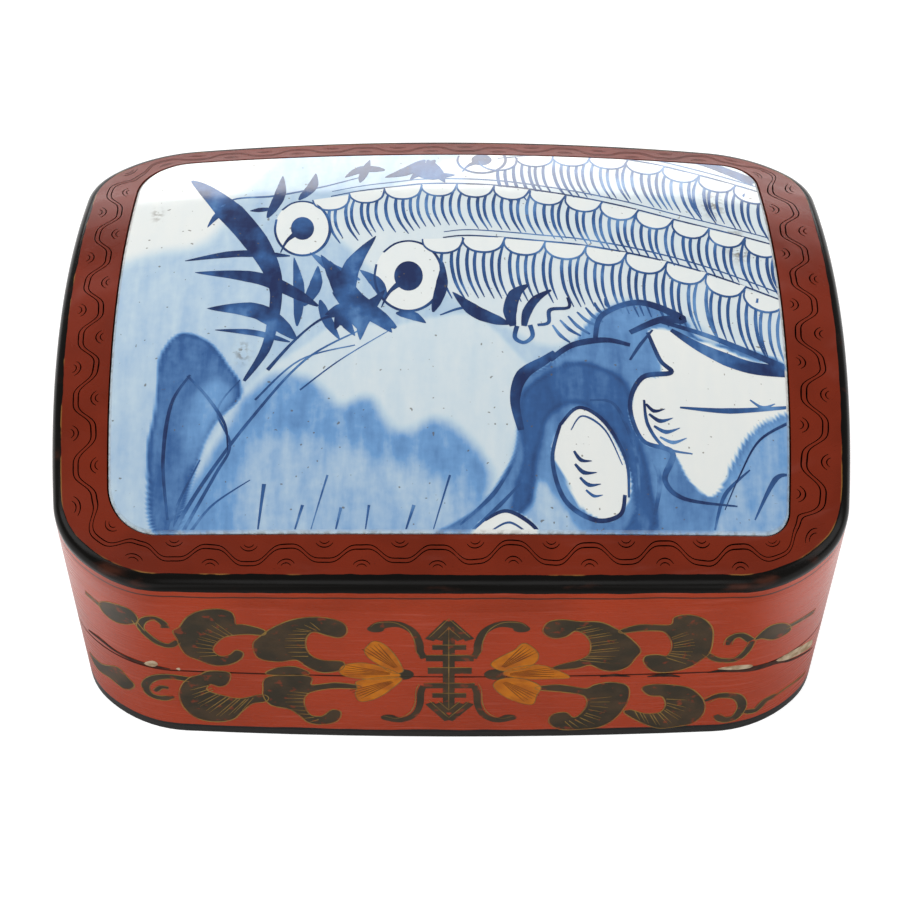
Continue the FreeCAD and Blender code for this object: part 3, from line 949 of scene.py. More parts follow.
def leaf(drawing, tip, root, bend, width):
    """Leaf in one press of the brush: fine tip, full belly, drawn in at the root."""
    a, b = on_panel(*tip), on_panel(*root)
    across = Vector((a.y - b.y, b.x - a.x)) * bend
    line = smooth_run([a, a.lerp(b, 0.5) + across, b], steps=10)
    stroke(drawing, line, 0.1, 0.5 * width, 0.95 * width, width, 0.75 * width, 0.15 * width)


def line_on(drawing, points, *widths):
    """Brush stroke through places in the sheet."""
    stroke(drawing, panel_run(points), *widths)


# Leaves, each as its tip, its root, how much it bends and its width in millimetres.
leaves = [
    ((335, 295), (385, 255), 0.1, 1.6), ((290, 362), (500, 352), 0.06, 2.2),
    ((310, 385), (556, 452), 0.10, 3.6), ((335, 457), (512, 518), 0.16, 4.4),
    ((350, 500), (500, 524), 0.05, 1.6),
    ((562, 350), (605, 452), 0.06, 3.4), ((672, 312), (618, 465), -0.12, 4.2),
    ((580, 362), (712, 496), -0.1, 4.8),
    ((690, 420), (600, 490), 0.08, 3.2), ((772, 486), (712, 466), -0.1, 2.4),
    ((704, 505), (600, 440), -0.1, 4.4),
    ((585, 425), (640, 500), 0.1, 3.4), ((570, 470), (640, 455), 0.1, 3.0),
    ((640, 520), (680, 430), 0.1, 3.4),
    ((590, 500), (640, 440), 0.12, 3.0), ((630, 512), (600, 455), 0.05, 2.4),
    ((486, 192), (455, 276), 0.06, 2.8),
    ((552, 187), (518, 240), 0.1, 2.6), ((420, 262), (462, 258), 0.0, 1.6),
    ((610, 195), (690, 180), 0.2, 3.0),
    ((660, 160), (640, 205), 0.0, 2.2), ((690, 195), (770, 160), -0.1, 3.4),
    ((830, 190), (740, 170), 0.2, 3.8),
    ((740, 200), (790, 160), 0.0, 2.8), ((810, 205), (775, 160), 0.0, 3.0),
    ((825, 424), (938, 488), -0.1, 3.4),
    ((806, 364), (786, 464), 0.05, 2.8)]
pale_leaves = [
    ((508, 355), (514, 492), 0.04, 2.6), ((556, 372), (528, 452), 0.08, 3.0),
    ((540, 345), (640, 400), -0.06, 2.6),
    ((640, 380), (690, 440), 0.1, 3.0), ((600, 520), (560, 440), 0.05, 2.4)]

# Lines of the brush, each as its places and its widths: the bent stem and the small flower, the
# outlines of the rocks and the marks on them, and the two lines of the stone at the left.
drawn_lines = [
    ([(304, 202), (330, 219), (380, 264), (430, 322), (462, 378), (472, 425), (466, 480), (450, 540),
      (408, 602)],
     (0.5, 3.6, 6.6, 6.0, 4.2, 2.8, 2.6, 2.2, 0.7)),
    ([(975, 410), (950, 428), (940, 462), (946, 492)], (0.6, 3.0, 3.2, 1.4)),
    ([(1022, 420), (992, 438), (974, 464), (968, 492)], (0.5, 2.0, 2.2, 1.2)),
    ([(954, 492), (950, 515), (968, 525), (985, 512), (980, 490)], (1.1, 0.9, 1.1)),
    ([(1055, 435), (1057, 455), (1020, 460), (1017, 485), (995, 490)], (0.6, 1.0, 0.7)),
    ([(1160, 147), (1300, 160), (1428, 205)], (0.5, 2.2, 3.4)),
    ([(345, 275), (385, 240), (470, 232), (560, 215), (640, 195)], (0.4, 0.7, 0.3)),
    ([(600, 470), (560, 480), (510, 520), (455, 580)], (0.9, 0.5, 0.9)),
    ([(800, 470), (860, 455), (930, 485)], (0.3, 0.9, 0.6)),
    ([(1030, 545), (1010, 560), (965, 590), (950, 640), (962, 700)], (1.4, 3.0, 1.4)),
    ([(1020, 560), (1065, 530), (1130, 520), (1180, 530)], (1.2, 1.6, 0.9)),
    ([(1110, 520), (1125, 470), (1200, 445), (1285, 478), (1240, 480), (1180, 505)], (1.0, 1.5, 2.2, 1.2)),
    ([(1230, 480), (1330, 510), (1430, 550), (1520, 590)], (0.9, 1.4, 1.9)),
    ([(1262, 500), (1330, 540), (1420, 575), (1520, 585)], (0.9, 3.4, 3.0)),
    ([(1215, 505), (1240, 560), (1262, 585), (1205, 595), (1180, 650), (1205, 720), (1265, 745),
      (1250, 800),
      (1290, 838), (1395, 853)], (0.8, 1.0, 1.3, 1.0, 0.9, 1.4, 1.0, 0.3)),
    ([(1040, 690), (1025, 760), (1050, 840), (1110, 880), (1160, 870), (1170, 830)], (0.7, 1.1, 0.8)),
    ([(1040, 690), (1078, 655), (1130, 685), (1172, 760), (1178, 835)], (0.7, 0.9, 0.5)),
    ([(1062, 700), (1085, 672), (1130, 700), (1165, 770)], (0.2, 0.5, 0.2)),
    ([(1068, 742), (1082, 760), (1104, 762)], (0.5, 0.9, 0.1)),
    ([(1070, 768), (1088, 785), (1114, 785)], (0.5, 1.0, 0.1)),
    ([(1080, 795), (1098, 810), (1122, 808)], (0.5, 0.9, 0.1)),
    ([(1092, 820), (1108, 832), (1126, 830)], (0.4, 0.7, 0.1)),
    ([(890, 880), (935, 862), (990, 895), (1010, 940)], (0.6, 0.9, 0.6)),
    ([(905, 900), (940, 885), (980, 910)], (0.3, 0.5, 0.3)),
    ([(1208, 640), (1216, 690), (1250, 735), (1305, 748)], (0.5, 0.8, 0.7, 0.3)),
    ([(1212, 648), (1228, 662), (1250, 658)], (0.5, 0.9, 0.1)),
    ([(1218, 668), (1240, 682), (1266, 676)], (0.5, 1.0, 0.1)),
    ([(1228, 692), (1252, 704), (1280, 696)], (0.5, 1.0, 0.1)),
    ([(1240, 714), (1266, 725), (1294, 716)], (0.4, 0.9, 0.1)),
    ([(1280, 655), (1380, 662), (1500, 655)], (0.4, 1.4, 0.7)),
    ([(1510, 680), (1440, 720), (1400, 790), (1370, 860)], (0.8, 0.4, 0.2)),
    ([(1420, 640), (1445, 655), (1470, 648)], (0.3, 0.8, 0.2)),
    ([(1180, 560), (1200, 530), (1225, 500)], (0.5, 0.8, 0.4)),
    ([(1100, 640), (1150, 650), (1190, 740), (1200, 830)], (0.4, 0.8, 0.4)),
    ([(300, 590), (262, 650), (246, 760), (255, 880)], (0.5, 0.9, 0.5)),
    ([(295, 592), (335, 635), (370, 690), (375, 740)], (0.5, 0.8, 0.2))]

# Blades of grass and creases of the hill, and the short barbs under the third row of feathers.
grass = [
    ([(265, 905), (330, 800), (420, 680), (530, 560), (640, 500)], (0.9, 0.7, 0.35)),
    ([(285, 905), (350, 790), (380, 730), (355, 660), (400, 600)], (0.8, 0.6, 0.3)),
    ([(260, 905), (275, 850), (320, 760)], (0.9, 0.3)), ([(300, 905), (345, 850), (420, 800)], (0.7, 0.2)),
    ([(430, 640), (520, 560), (630, 530)], (0.5, 0.3)), ([(520, 620), (600, 560), (700, 500)], (0.4, 0.2)),
    ([(435, 905), (448, 808)], (0.3, 0.9)), ([(508, 905), (525, 850)], (0.3, 0.7)),
    ([(540, 905), (575, 790)], (0.2, 0.5)),
    ([(590, 905), (602, 855)], (0.3, 0.7)), ([(650, 905), (658, 850)], (0.2, 0.6)),
    ([(730, 905), (748, 850)], (0.3, 0.8)),
    ([(785, 905), (820, 790)], (0.2, 0.5)), ([(840, 890), (905, 830), (945, 770)], (0.4, 1.0, 0.4)),
    ([(860, 905), (920, 850), (962, 805)], (0.5, 0.9, 0.3)), ([(1230, 870), (1240, 800), (1225, 760)],
                                                              (0.6, 1.2, 0.4)),
    ([(1350, 900), (1370, 830), (1420, 780)], (0.4, 0.9, 0.3)),
    ([(1430, 880), (1470, 800), (1500, 790)], (0.3, 1.2, 0.3))]
barbs = [
    ((1025, 490), (1060, 525)), ((1040, 480), (1082, 512)), ((1056, 472), (1100, 508)),
    ((1074, 464), (1116, 492)), ((1091, 455), (1126, 484)), ((1109, 445), (1128, 468)),
    ((1130, 436), (1140, 456))]

# Eyes of the tail, each as its middle, half its width and half its height.
eyes = [(525, 297, 55, 54), (737, 392, 68, 70), (883, 160, 48, 26)]
pupil = 0.42

dark, middle_tone, white = (bmesh.new() for i in range(3))
for shape in leaves:
    leaf(dark, *shape)
for points, widths in drawn_lines:
    line_on(middle_tone if widths[0] < 0.45 else dark, points, *widths)
for shape in pale_leaves:
    leaf(middle_tone, *shape)
for a, b in barbs:
    line_on(middle_tone, [a, ((a[0] + b[0]) / 2 - 2, (a[1] + b[1]) / 2 + 3), b], 0.4, 0.9, 0.4)
for points, widths in grass:
    line_on(middle_tone, points, *widths)
for cx, cy, wide, tall in eyes:
    for size, drawing in ((1.0, white), (pupil, dark)):
        ring = []
        for a in range(16):
            ring.append((cx + wide * size * math.cos(a * 0.39), cy + tall * size * math.sin(a * 0.39)))
        fill(drawing, panel_run(ring, True, 4))
    turn = [(cx + wide * math.cos(a * 0.42 - 2.4), cy + tall * math.sin(a * 0.42 - 2.4)) for a in range(15)]
    line_on(dark, turn, 0.5, 0.75, 0.5)
    tail = [(cx - x * wide, cy + y * tall) for x, y in ((0.1, 0.1), (0.55, 0.45), (0.8, 0.9))]
    line_on(dark, tail, 2.2, 0.8, 0.2)


def geometry_group(name, inputs):
    """Geometry node group with a mesh going in and out, and these named inputs."""
    group = bpy.data.node_groups.new(name, "GeometryNodeTree")
    for title, kind in [("Geometry", "Geometry")] + inputs:
        group.interface.new_socket(title, in_out="INPUT", socket_type="NodeSocket" + kind)
    group.interface.new_socket("Geometry", in_out="OUTPUT", socket_type="NodeSocketGeometry")
    return group, group.nodes.new("NodeGroupInput").outputs, group.nodes.new("NodeGroupOutput").inputs


def drape(tree, geometry, lift):
    """Sets each point on the domed top, keeping its own height as height above the dome."""
    position = step(tree, "GeometryNodeInputPosition").outputs[0]
    x, y, z = step(tree, "ShaderNodeSeparateXYZ", None, _0=position).outputs
    ring = math_node(tree, "SQRT", minus(tree, crown_radius ** 2, times(tree, x, x)))
    ring = plus(tree, ring, apex_z - crown_radius - arch_axis)
    drop = minus(tree, times(tree, ring, ring), times(tree, y, y))
    height = plus(tree, math_node(tree, "SQRT", drop), plus(tree, z, arch_axis))
    height = plus(tree, height, lift)
    onto = step(tree, "ShaderNodeCombineXYZ", None, _0=x, _1=y, _2=height).outputs[0]
    return step(tree, "GeometryNodeSetPosition", None, Geometry=geometry, Position=onto).outputs[0]


def baked(name, points, group, reach=None, **values):
    """Runs a group on a path through points, given as plan positions, and keeps the mesh that it makes."""
    mesh = bpy.data.meshes.new(name)
    mesh.from_pydata([(p.x, p.y, 0) for p in points], [(i, i + 1) for i in range(len(points) - 1)], [])
    if reach:
        mesh.attributes.new("reach", "FLOAT", "POINT").data.foreach_set("value", reach)
    holder = bpy.data.objects.new(name, mesh)
    scene.collection.objects.link(holder)
    modifier = holder.modifiers.new("nodes", "NODES")
    modifier.node_group = group
    for socket in group.interface.items_tree:
        if socket.in_out == "INPUT" and socket.name in values:
            modifier[socket.identifier] = values[socket.name]
    bpy.context.view_layer.update()
    made = bpy.data.meshes.new_from_object(holder.evaluated_get(bpy.context.evaluated_depsgraph_get()))
    bpy.data.objects.remove(holder)
    made.name = name
    piece = bpy.data.objects.new(name, made)
    scene.collection.objects.link(piece)
    return piece


row_on_path, given, out = geometry_group(
    "row_on_path", [("Motif", "Object"), ("Count", "Int"), ("Size Spread", "Float"),
                    ("Turn Spread", "Float"),
                    ("Follow", "Float"), ("Lift", "Float"), ("Seed", "Int"), ("Material", "Material")])
tree = row_on_path
drawn = {"data_type": "FLOAT"}
path = step(tree, "GeometryNodeMeshToCurve", None, Mesh=given["Geometry"]).outputs[0]
path = step(tree, "GeometryNodeResampleCurve", None, Curve=path, Count=given["Count"]).outputs[0]
motif = step(tree, "GeometryNodeObjectInfo", None, Object=given["Motif"]).outputs["Geometry"]
tangent = step(tree, "GeometryNodeInputTangent").outputs[0]
along = step(tree, "FunctionNodeAlignRotationToVector", {"axis": "X"}, Factor=given["Follow"],
             Vector=tangent).outputs[0]
least_turn = times(tree, given["Turn Spread"], -1.0)
sway = step(tree, "FunctionNodeRandomValue", drawn, _2=least_turn, _3=given["Turn Spread"],
            Seed=given["Seed"]).outputs[1]
sway = step(tree, "FunctionNodeAxisAngleToRotation", None, Axis=(0, 0, 1), Angle=sway).outputs[0]
turned = step(tree, "FunctionNodeRotateRotation", {"rotation_space": "LOCAL"}, _0=along, _1=sway).outputs[0]
least = minus(tree, 1.0, given["Size Spread"])
most = plus(tree, 1.0, given["Size Spread"])
size = step(tree, "FunctionNodeRandomValue", drawn, _2=least, _3=most, Seed=given["Seed"]).outputs[1]
row = step(tree, "GeometryNodeInstanceOnPoints", None, Points=path, Instance=motif, Rotation=turned,
           Scale=size).outputs[0]
row = drape(tree, step(tree, "GeometryNodeRealizeInstances", None, Geometry=row).outputs[0], given["Lift"])
painted = step(tree, "GeometryNodeSetMaterial", None, Geometry=row, Material=given["Material"])
put(tree, out["Geometry"], painted.outputs[0])

# Rows of feathers, each as the path of its spine, how many fringe strokes and how many white scales
# follow it, and how long the strokes are in millimetres.
bands = [
    ([(915, 157), (1015, 149), (1105, 152), (1205, 164), (1305, 187), (1430, 222), (1500, 245)], 38, 9,
     18.5),
    ([(582, 233), (640, 222), (705, 214), (780, 207), (905, 210), (1030, 226), (1155, 250), (1280, 282),
      (1400, 312),
      (1520, 345)], 58, 14, 17.0),
    ([(806, 315), (865, 311), (1005, 322), (1090, 331), (1205, 352), (1335, 387), (1480, 440), (1530, 460)],
     44, 10, 19.5)]
spine_gap = Vector((0.2, 2.0)) * mm
fringe_shape = [(0.3, -0.08), (-0.7, -0.4), (-0.3, -0.72), (1.5, -1.0)]
scale_shape = [(-1.0, -0.07), (-0.93, -0.52), (-0.5, -0.92), (0.2, -1.0), (0.75, -0.7), (1.0, -0.07)]
scale_depth = 5.2 * mm
panel_paint = []
for number, (points, strokes, scales, length) in enumerate(bands):
    line = panel_run(points)
    stroke(dark, line, 0.35, 0.55, 0.4)
    stroke(middle_tone, [p + spine_gap for p in line], 0.25, 0.45, 0.3)
    half = sum((b - a).length for a, b in zip(line, line[1:])) / (scales - 1) / 2
    fringe_drawing, scale_drawing, scale_edge = bmesh.new(), bmesh.new(), bmesh.new()
    barb = [Vector((x, y * length)) * mm for x, y in fringe_shape]
    stroke(fringe_drawing, smooth_run(barb, steps=4), 0.4, 0.8, 0.75, 0.2)
    scallop = smooth_run([Vector((x * half, y * scale_depth)) for x, y in scale_shape], steps=4)
    fill(scale_drawing, scallop)
    stroke(scale_edge, scallop, 0.35, 0.6, 0.5)
    for drawing, kind, count, material, lift, spread, turn, follow in (
            (fringe_drawing, "fringe", strokes, strong_blue, 0.31 * mm, 0.07, 0.06, 0.15),
            (scale_drawing, "scale", scales, white_reserve, 0.33 * mm, 0.04, 0.02, 0.7),
            (scale_edge, "scale_edge", scales, strong_blue, 0.35 * mm, 0.04, 0.02, 0.7)):
        motif = laid(drawing, kind + "_motif", flat_place, navy)
        panel_paint.append(baked("feather_%d_%s" % (number + 1, kind), line, row_on_path, Motif=motif,
                                 Count=count,
                                 Lift=lift, Seed=number + 3, Follow=follow, Material=material,
                                 **{"Size Spread": spread, "Turn Spread": turn}))
        bpy.data.objects.remove(motif)


rim_steps = 72
edge_arcs = window_outline(shard_play + shard_edge)
rim = []
for i in range(rim_steps):
    where, way = window_at(perimeter * i / rim_steps, edge_arcs)
    rim.append((where, -way))


def trim_to_rim(drawing):
    """Takes away what lies outside the ground edge of the china."""
    for where, outwards in rim:
        trim(drawing, where, outwards)


def face_upwards(piece):
    """Shades a thin piece on the dome as the dome itself."""
    piece.data.shade_smooth()
    ways = [dome_normal(v.co.x, v.co.y) for v in piece.data.vertices]
    piece.data.normals_split_custom_set_from_vertices(ways)


for drawing in (dark, middle_tone, white):
    trim_to_rim(drawing)
panel_paint += [laid(white, "brushwork_reserves", on_china, white_reserve, 0.02 * mm),
                laid(middle_tone, "brushwork_blue", on_china, strong_blue, 0.04 * mm),
                laid(dark, "brushwork_navy", on_china, navy, 0.05 * mm)]
for piece in panel_paint:
    if piece.name.startswith("feather"):
        clipped = bmesh.new()
        clipped.from_mesh(piece.data)
        trim_to_rim(clipped)
        bmesh.ops.holes_fill(clipped, edges=clipped.edges[:], sides=0)
        clipped.to_mesh(piece.data)
        clipped.free()
        face_upwards(piece)
    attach(piece, "lid")


# Engraved border of the frame. A wavy double line with small arcs nested in its bends, scratched
# through the red and once rubbed with gold, of which only bits are left.
border_steps, wave_steps, arc_steps = 600, 28, 9
border_set_in, border_width = 0.5 * mm, 9.0 * mm
wave_pitch, wave_wander = 16.3 * mm, 3.2 * mm
strip_on_path, given, out = geometry_group(
    "strip_on_path", [("Motif", "Object"), ("Count", "Int"), ("Pitch", "Float"), ("Lift", "Float"),
                      ("Material", "Material")])
tree = strip_on_path
path = step(tree, "GeometryNodeMeshToCurve", None, Mesh=given["Geometry"]).outputs[0]
motif = step(tree, "GeometryNodeObjectInfo", None, Object=given["Motif"]).outputs["Geometry"]
pitch = step(tree, "ShaderNodeCombineXYZ", None, _0=given["Pitch"]).outputs[0]
places = step(tree, "GeometryNodeMeshLine", None, Count=given["Count"], Offset=pitch).outputs[0]
strip = step(tree, "GeometryNodeInstanceOnPoints", None, Points=places, Instance=motif).outputs[0]
strip = step(tree, "GeometryNodeRealizeInstances", None, Geometry=strip).outputs[0]
x, y, z = step(tree, "ShaderNodeSeparateXYZ", None, _0=step(tree,
                                                            "GeometryNodeInputPosition").outputs[0]).outputs
reach = step(tree, "GeometryNodeInputNamedAttribute", None, Name="reach").outputs[0]
on_path = step(tree, "GeometryNodeSampleCurve", {"mode": "LENGTH"}, Curves=path, Value=reach,
               Length=x).outputs
tangent_x, tangent_y = step(tree, "ShaderNodeSeparateXYZ", None, _0=on_path["Tangent"]).outputs[:2]
path_x, path_y = step(tree, "ShaderNodeSeparateXYZ", None, _0=on_path["Position"]).outputs[:2]
wander = step(tree, "ShaderNodeTexNoise", None, Vector=on_path["Position"], Scale=55.0,
              Detail=1.0).outputs[0]
wander = times(tree, minus(tree, wander, 0.5), wave_wander)
y = times(tree, plus(tree, y, wander), on_path["Value"])
x = plus(tree, path_x, times(tree, tangent_y, y))
y = minus(tree, path_y, times(tree, tangent_x, y))
onto = step(tree, "ShaderNodeCombineXYZ", None, _0=x, _1=y, _2=z).outputs[0]
strip = step(tree, "GeometryNodeSetPosition", None, Geometry=strip, Position=onto).outputs[0]
strip = drape(tree, strip, given["Lift"])
engraving = step(tree, "GeometryNodeSetMaterial", None, Geometry=strip, Material=given["Material"])
put(tree, out["Geometry"], engraving.outputs[0])

engraved, tree, shader = new_material("engraved_line")
left_gold = ramped(tree, noise_at(tree, object_place(tree), 85.0, 4.0), 0.54, 0.63)
put(tree, shader.inputs["Base Color"], mixed(tree, left_gold, (0.050, 0.020, 0.011), (0.34, 0.19, 0.06)))
shader.inputs["Roughness"].default_value = 0.5

border_path, border_reach = [], []
edge_arcs = window_outline()
for i in range(border_steps + 1):
    u = perimeter * i / border_steps
    outer_point = on_outline(u, band_in + border_set_in)[0].xy
    inner_point = window_at(u % perimeter, edge_arcs)[0]
    border_path.append(outer_point.lerp(inner_point, 0.5))
    border_reach.append((outer_point - inner_point).length / border_width)
path_length = sum((b - a).length for a, b in zip(border_path, border_path[1:]))
waves = round(path_length / wave_pitch)
pitch_length = path_length / waves
wave_drawing = bmesh.new()
for shift in (-0.5, 0.5):
    line = []
    for i in range(wave_steps + 1):
        turn = 2 * math.pi * i / wave_steps
        height = 2.1 * math.sin(turn) + 0.25 * math.sin(3 * turn) + shift
        line.append(Vector((pitch_length * i / wave_steps, height * mm)))
    stroke(wave_drawing, line, 0.15, 0.26, 0.18, 0.3, 0.15)
for at, side in ((0.25, -1), (0.75, 1)):
    for radius, width in ((1.2, 0.24), (2.1, 0.28)):
        arc = []
        for i in range(arc_steps + 1):
            angle = math.radians(28 + 124 * i / arc_steps)
            arc.append(Vector((pitch_length * at - side * math.cos(angle) * radius * mm,
                               side * (3.3 - math.sin(angle) * radius) * mm)))
        stroke(wave_drawing, arc if side > 0 else arc[::-1], 0.1, width, 0.12)
wave_motif = laid(wave_drawing, "wave_motif", flat_place, engraved, 0.015 * mm, 0.03 * mm)
waves_piece = baked("engraved_wave", border_path, strip_on_path, reach=border_reach, Motif=wave_motif,
                    Count=waves,
                    Pitch=pitch_length, Lift=0.0, Material=engraved)
bpy.data.objects.remove(wave_motif)
face_upwards(waves_piece)
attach(waves_piece, "lid")


# Painted ornament of the front. Olive-black leaf scrolls edged and hatched in gold run out from a
# fret in the middle, with orange petals on either side; all of it crosses the seam.
table_steps = 560
left_sheet, right_sheet = (60, 1010), (800, 1010)
paint_grid = 2.0 * mm
front_table = []
for i in range(-table_steps, table_steps + 1):
    u = perimeter / 4 * i / table_steps
    edge = on_outline(u)[0]
    front_table.append((edge.x, edge.y, u))


def front_at(x):
    """The front wall's y and the place u along the outline, for an x."""
    k = max(1, min(len(front_table) - 1, bisect.bisect([row[0] for row in front_table], x)))
    (x0, y0, u0), (x1, y1, u1) = front_table[k - 1], front_table[k]
    along = min(1.0, max(0.0, (x - x0) / (x1 - x0)))
    return y0 + (y1 - y0) * along, u0 + (u1 - u0) * along


def on_front(cx, cy):
    """Place (u, z) on the front wall of a place in the sheet laid over the picture."""
    start, way = sight(cx, cy)
    near, far = (90 * mm - start.z) / way.z, (-10 * mm - start.z) / way.z
    for turn in range(32):
        halfway = (near + far) / 2
        p = start + way * halfway
        if p.y < front_at(p.x)[0]:
            near = halfway
        else:
            far = halfway
    return Vector((front_at(p.x)[1], p.z))


def at_left(x, y):
    """Place on the front wall of a place in the larger sheet over its left part."""
    return on_front(left_sheet[0] + x / sheet_enlarged, left_sheet[1] + y / sheet_enlarged)


def at_right(x, y):
    """Place on the front wall of a place in the larger sheet over its right part."""
    return on_front(right_sheet[0] + x / sheet_enlarged, right_sheet[1] + y / sheet_enlarged)


def front_run(side, points, closed=False, steps=6):
    """Even curve on the front wall through places in one of the two sheets."""
    return smooth_run([side(*p) for p in points], closed, steps)


def on_wall(u, z):
    """Point and direction of the wall's face."""
    edge, outwards = on_outline(u)
    return Vector((edge.x, edge.y, z)), outwards


def grown(loop, by):
    """Closed loop moved outwards."""
    area = sum(a.x * b.y - b.x * a.y for a, b in zip(loop, loop[1:] + loop[:1]))
    found = []
    for i, p in enumerate(loop):
        way = (loop[(i + 1) % len(loop)] - loop[i - 1]).normalized()
        found.append(p + Vector((way.y, -way.x)) * (by if area > 0 else -by))
    return found + found[:1]


def hatched(drawing, a, b, count, *widths):
    """Fine lines from one run to another."""
    for i in range(count):
        at = (i + 0.5) / count
        p, q = a[int(at * (len(a) - 1))], b[int(at * (len(b) - 1))]
        stroke(drawing, [p.lerp(q, k / 5) for k in range(6)], *widths)


dark_paint, gold_paint, orange_paint = (bmesh.new() for i in range(3))
vein_paint, chip_paint, burr_paint = (bmesh.new() for i in range(3))

# Leaf scrolls, each as the sheet that it is set in and its outline.
scrolls = [
    (at_left, [(1105, 185), (1085, 150), (1000, 130), (900, 138), (820, 168), (765, 205), (735, 238),
               (755, 290), (830, 305),
               (905, 298), (950, 325), (1010, 348), (1080, 338), (1090, 308), (1010, 302), (960, 280),
               (940, 245), (945, 205),
               (975, 185), (1030, 200), (1080, 208)]),
    (at_left, [(655, 130), (640, 108), (590, 97), (520, 105), (470, 130), (440, 168), (415, 185),
               (430, 215), (445, 250),
               (470, 280), (520, 300), (580, 320), (640, 315), (680, 295), (690, 272), (665, 262),
               (640, 280), (600, 285),
               (570, 262), (580, 235), (620, 205), (700, 195), (770, 198), (772, 180), (700, 160),
               (662, 158)]),
    (at_left, [(120, 72), (170, 74), (240, 100), (268, 145), (200, 152), (140, 115)]),
    (at_left, [(790, 356), (830, 332), (900, 328), (952, 356)]),
    (at_left, [(795, 368), (955, 366), (965, 400), (1060, 392), (1150, 402), (1150, 412), (1050, 412),
               (970, 425), (938, 445),
               (935, 480), (960, 520), (1010, 525), (1050, 500), (1080, 508), (1070, 540), (1020, 555),
               (960, 550),
               (920, 520), (880, 495), (810, 480), (780, 450), (775, 420)]),
    (at_left, [(440, 440), (450, 400), (480, 372), (520, 360), (560, 345), (635, 352), (630, 390),
               (600, 405), (560, 395),
               (545, 420), (600, 440), (680, 455), (760, 440), (790, 448), (780, 465), (730, 472),
               (690, 500), (650, 535),
               (580, 545), (510, 530), (460, 490)]),
    (at_left, [(80, 272), (130, 318), (190, 330), (230, 370), (255, 402), (220, 415), (160, 370),
               (110, 332)]),
    (at_right, [(415, 185), (435, 150), (490, 140), (560, 148), (640, 150), (700, 175), (760, 215),
                (800, 260), (780, 290),
                (750, 325), (700, 342), (650, 337), (600, 318), (540, 332), (450, 336), (480, 320),
                (560, 300), (600, 275),
                (605, 230), (580, 195), (540, 182), (500, 205), (450, 210)]),
    (at_right, [(920, 160), (940, 130), (990, 120), (1050, 135), (1085, 170), (1088, 220), (1075, 270),
                (1040, 300),
                (1000, 325), (930, 345), (860, 345), (820, 312), (825, 285), (870, 280), (905, 285),
                (925, 265),
                (930, 230), (910, 195), (880, 182), (800, 182), (730, 190), (725, 180), (800, 160)]),
    (at_right, [(1262, 215), (1320, 165), (1380, 155), (1400, 180), (1340, 215), (1290, 212)]),
    (at_right, [(390, 408), (480, 400), (580, 415), (620, 400), (680, 390), (740, 400), (755, 430),
                (740, 480), (700, 530),
                (640, 565), (560, 575), (480, 575), (440, 550), (450, 520), (500, 510), (530, 530),
                (560, 520),
                (590, 480), (575, 440), (480, 425), (400, 418)]),
    (at_right, [(810, 415), (840, 400), (920, 400), (1000, 415), (1050, 460), (1052, 510), (1010, 550),
                (940, 565),
                (870, 570), (800, 545), (740, 510), (760, 500), (820, 515), (880, 510), (905, 480),
                (890, 445), (840, 440)])]
for side, points in scrolls:
    loop = front_run(side, points, True, 5)
    fill(dark_paint, loop, paint_grid)
    stroke(gold_paint, grown(loop, 0.22 * mm), 0.2, 0.34, 0.18, 0.3, 0.2, 0.36, 0.2)

# Tendrils, each as its sheet, its places and its widths.
curls = [
    (at_left, [(430, 225), (400, 242), (355, 232), (310, 200), (282, 168), (295, 140), (335, 132),
               (372, 152), (380, 172)], (1.2, 2.2, 1.8, 1.0, 2.2)),
    (at_left, [(125, 85), (90, 55), (60, 28)], (1.8, 0.3)), (at_left, [(255, 140), (275, 165), (292, 185)],
                                                             (0.9, 1.4, 0.6)),
    (at_left, [(480, 378), (400, 366), (335, 372), (302, 400), (320, 436), (370, 452), (415, 446)],
     (1.6, 2.6, 2.2, 1.6, 2.4, 0.8)),
    (at_left, [(340, 425), (365, 408), (395, 412)], (0.6, 1.6, 0.6)),
    (at_right, [(1062, 272), (1110, 298), (1180, 298), (1222, 268), (1250, 225)], (0.9, 2.2, 2.2, 1.0)),
    (at_right, [(1150, 240), (1165, 212), (1205, 200), (1245, 222)], (0.8, 2.4, 1.8)),
    (at_right, [(1385, 170), (1450, 135), (1500, 102)], (1.8, 1.4, 0.3)),
    (at_right, [(1060, 464), (1120, 442), (1185, 446), (1208, 482), (1180, 528), (1132, 538), (1102, 520)],
     (0.8, 2.2, 2.0, 2.4, 3.0, 1.2)),
    (at_right, [(1212, 505), (1262, 500), (1300, 462), (1342, 440)], (0.8, 2.6, 2.6, 1.0)),
    (at_right, [(1342, 440), (1400, 400), (1460, 350)], (0.9, 0.6, 0.2))]
for side, points, widths in curls:
    line = front_run(side, points)
    stroke(dark_paint, line, *widths)
    half = max(widths) / 2 * 0.8
    for k in (1, -1):
        shifted = []
        for i, p in enumerate(line):
            way = way_at(line, i)
            shifted.append(p + Vector((-way.y, way.x)) * k * half * mm)
        stroke(gold_paint, shifted, 0.1, 0.28, 0.2, 0.3, 0.1)

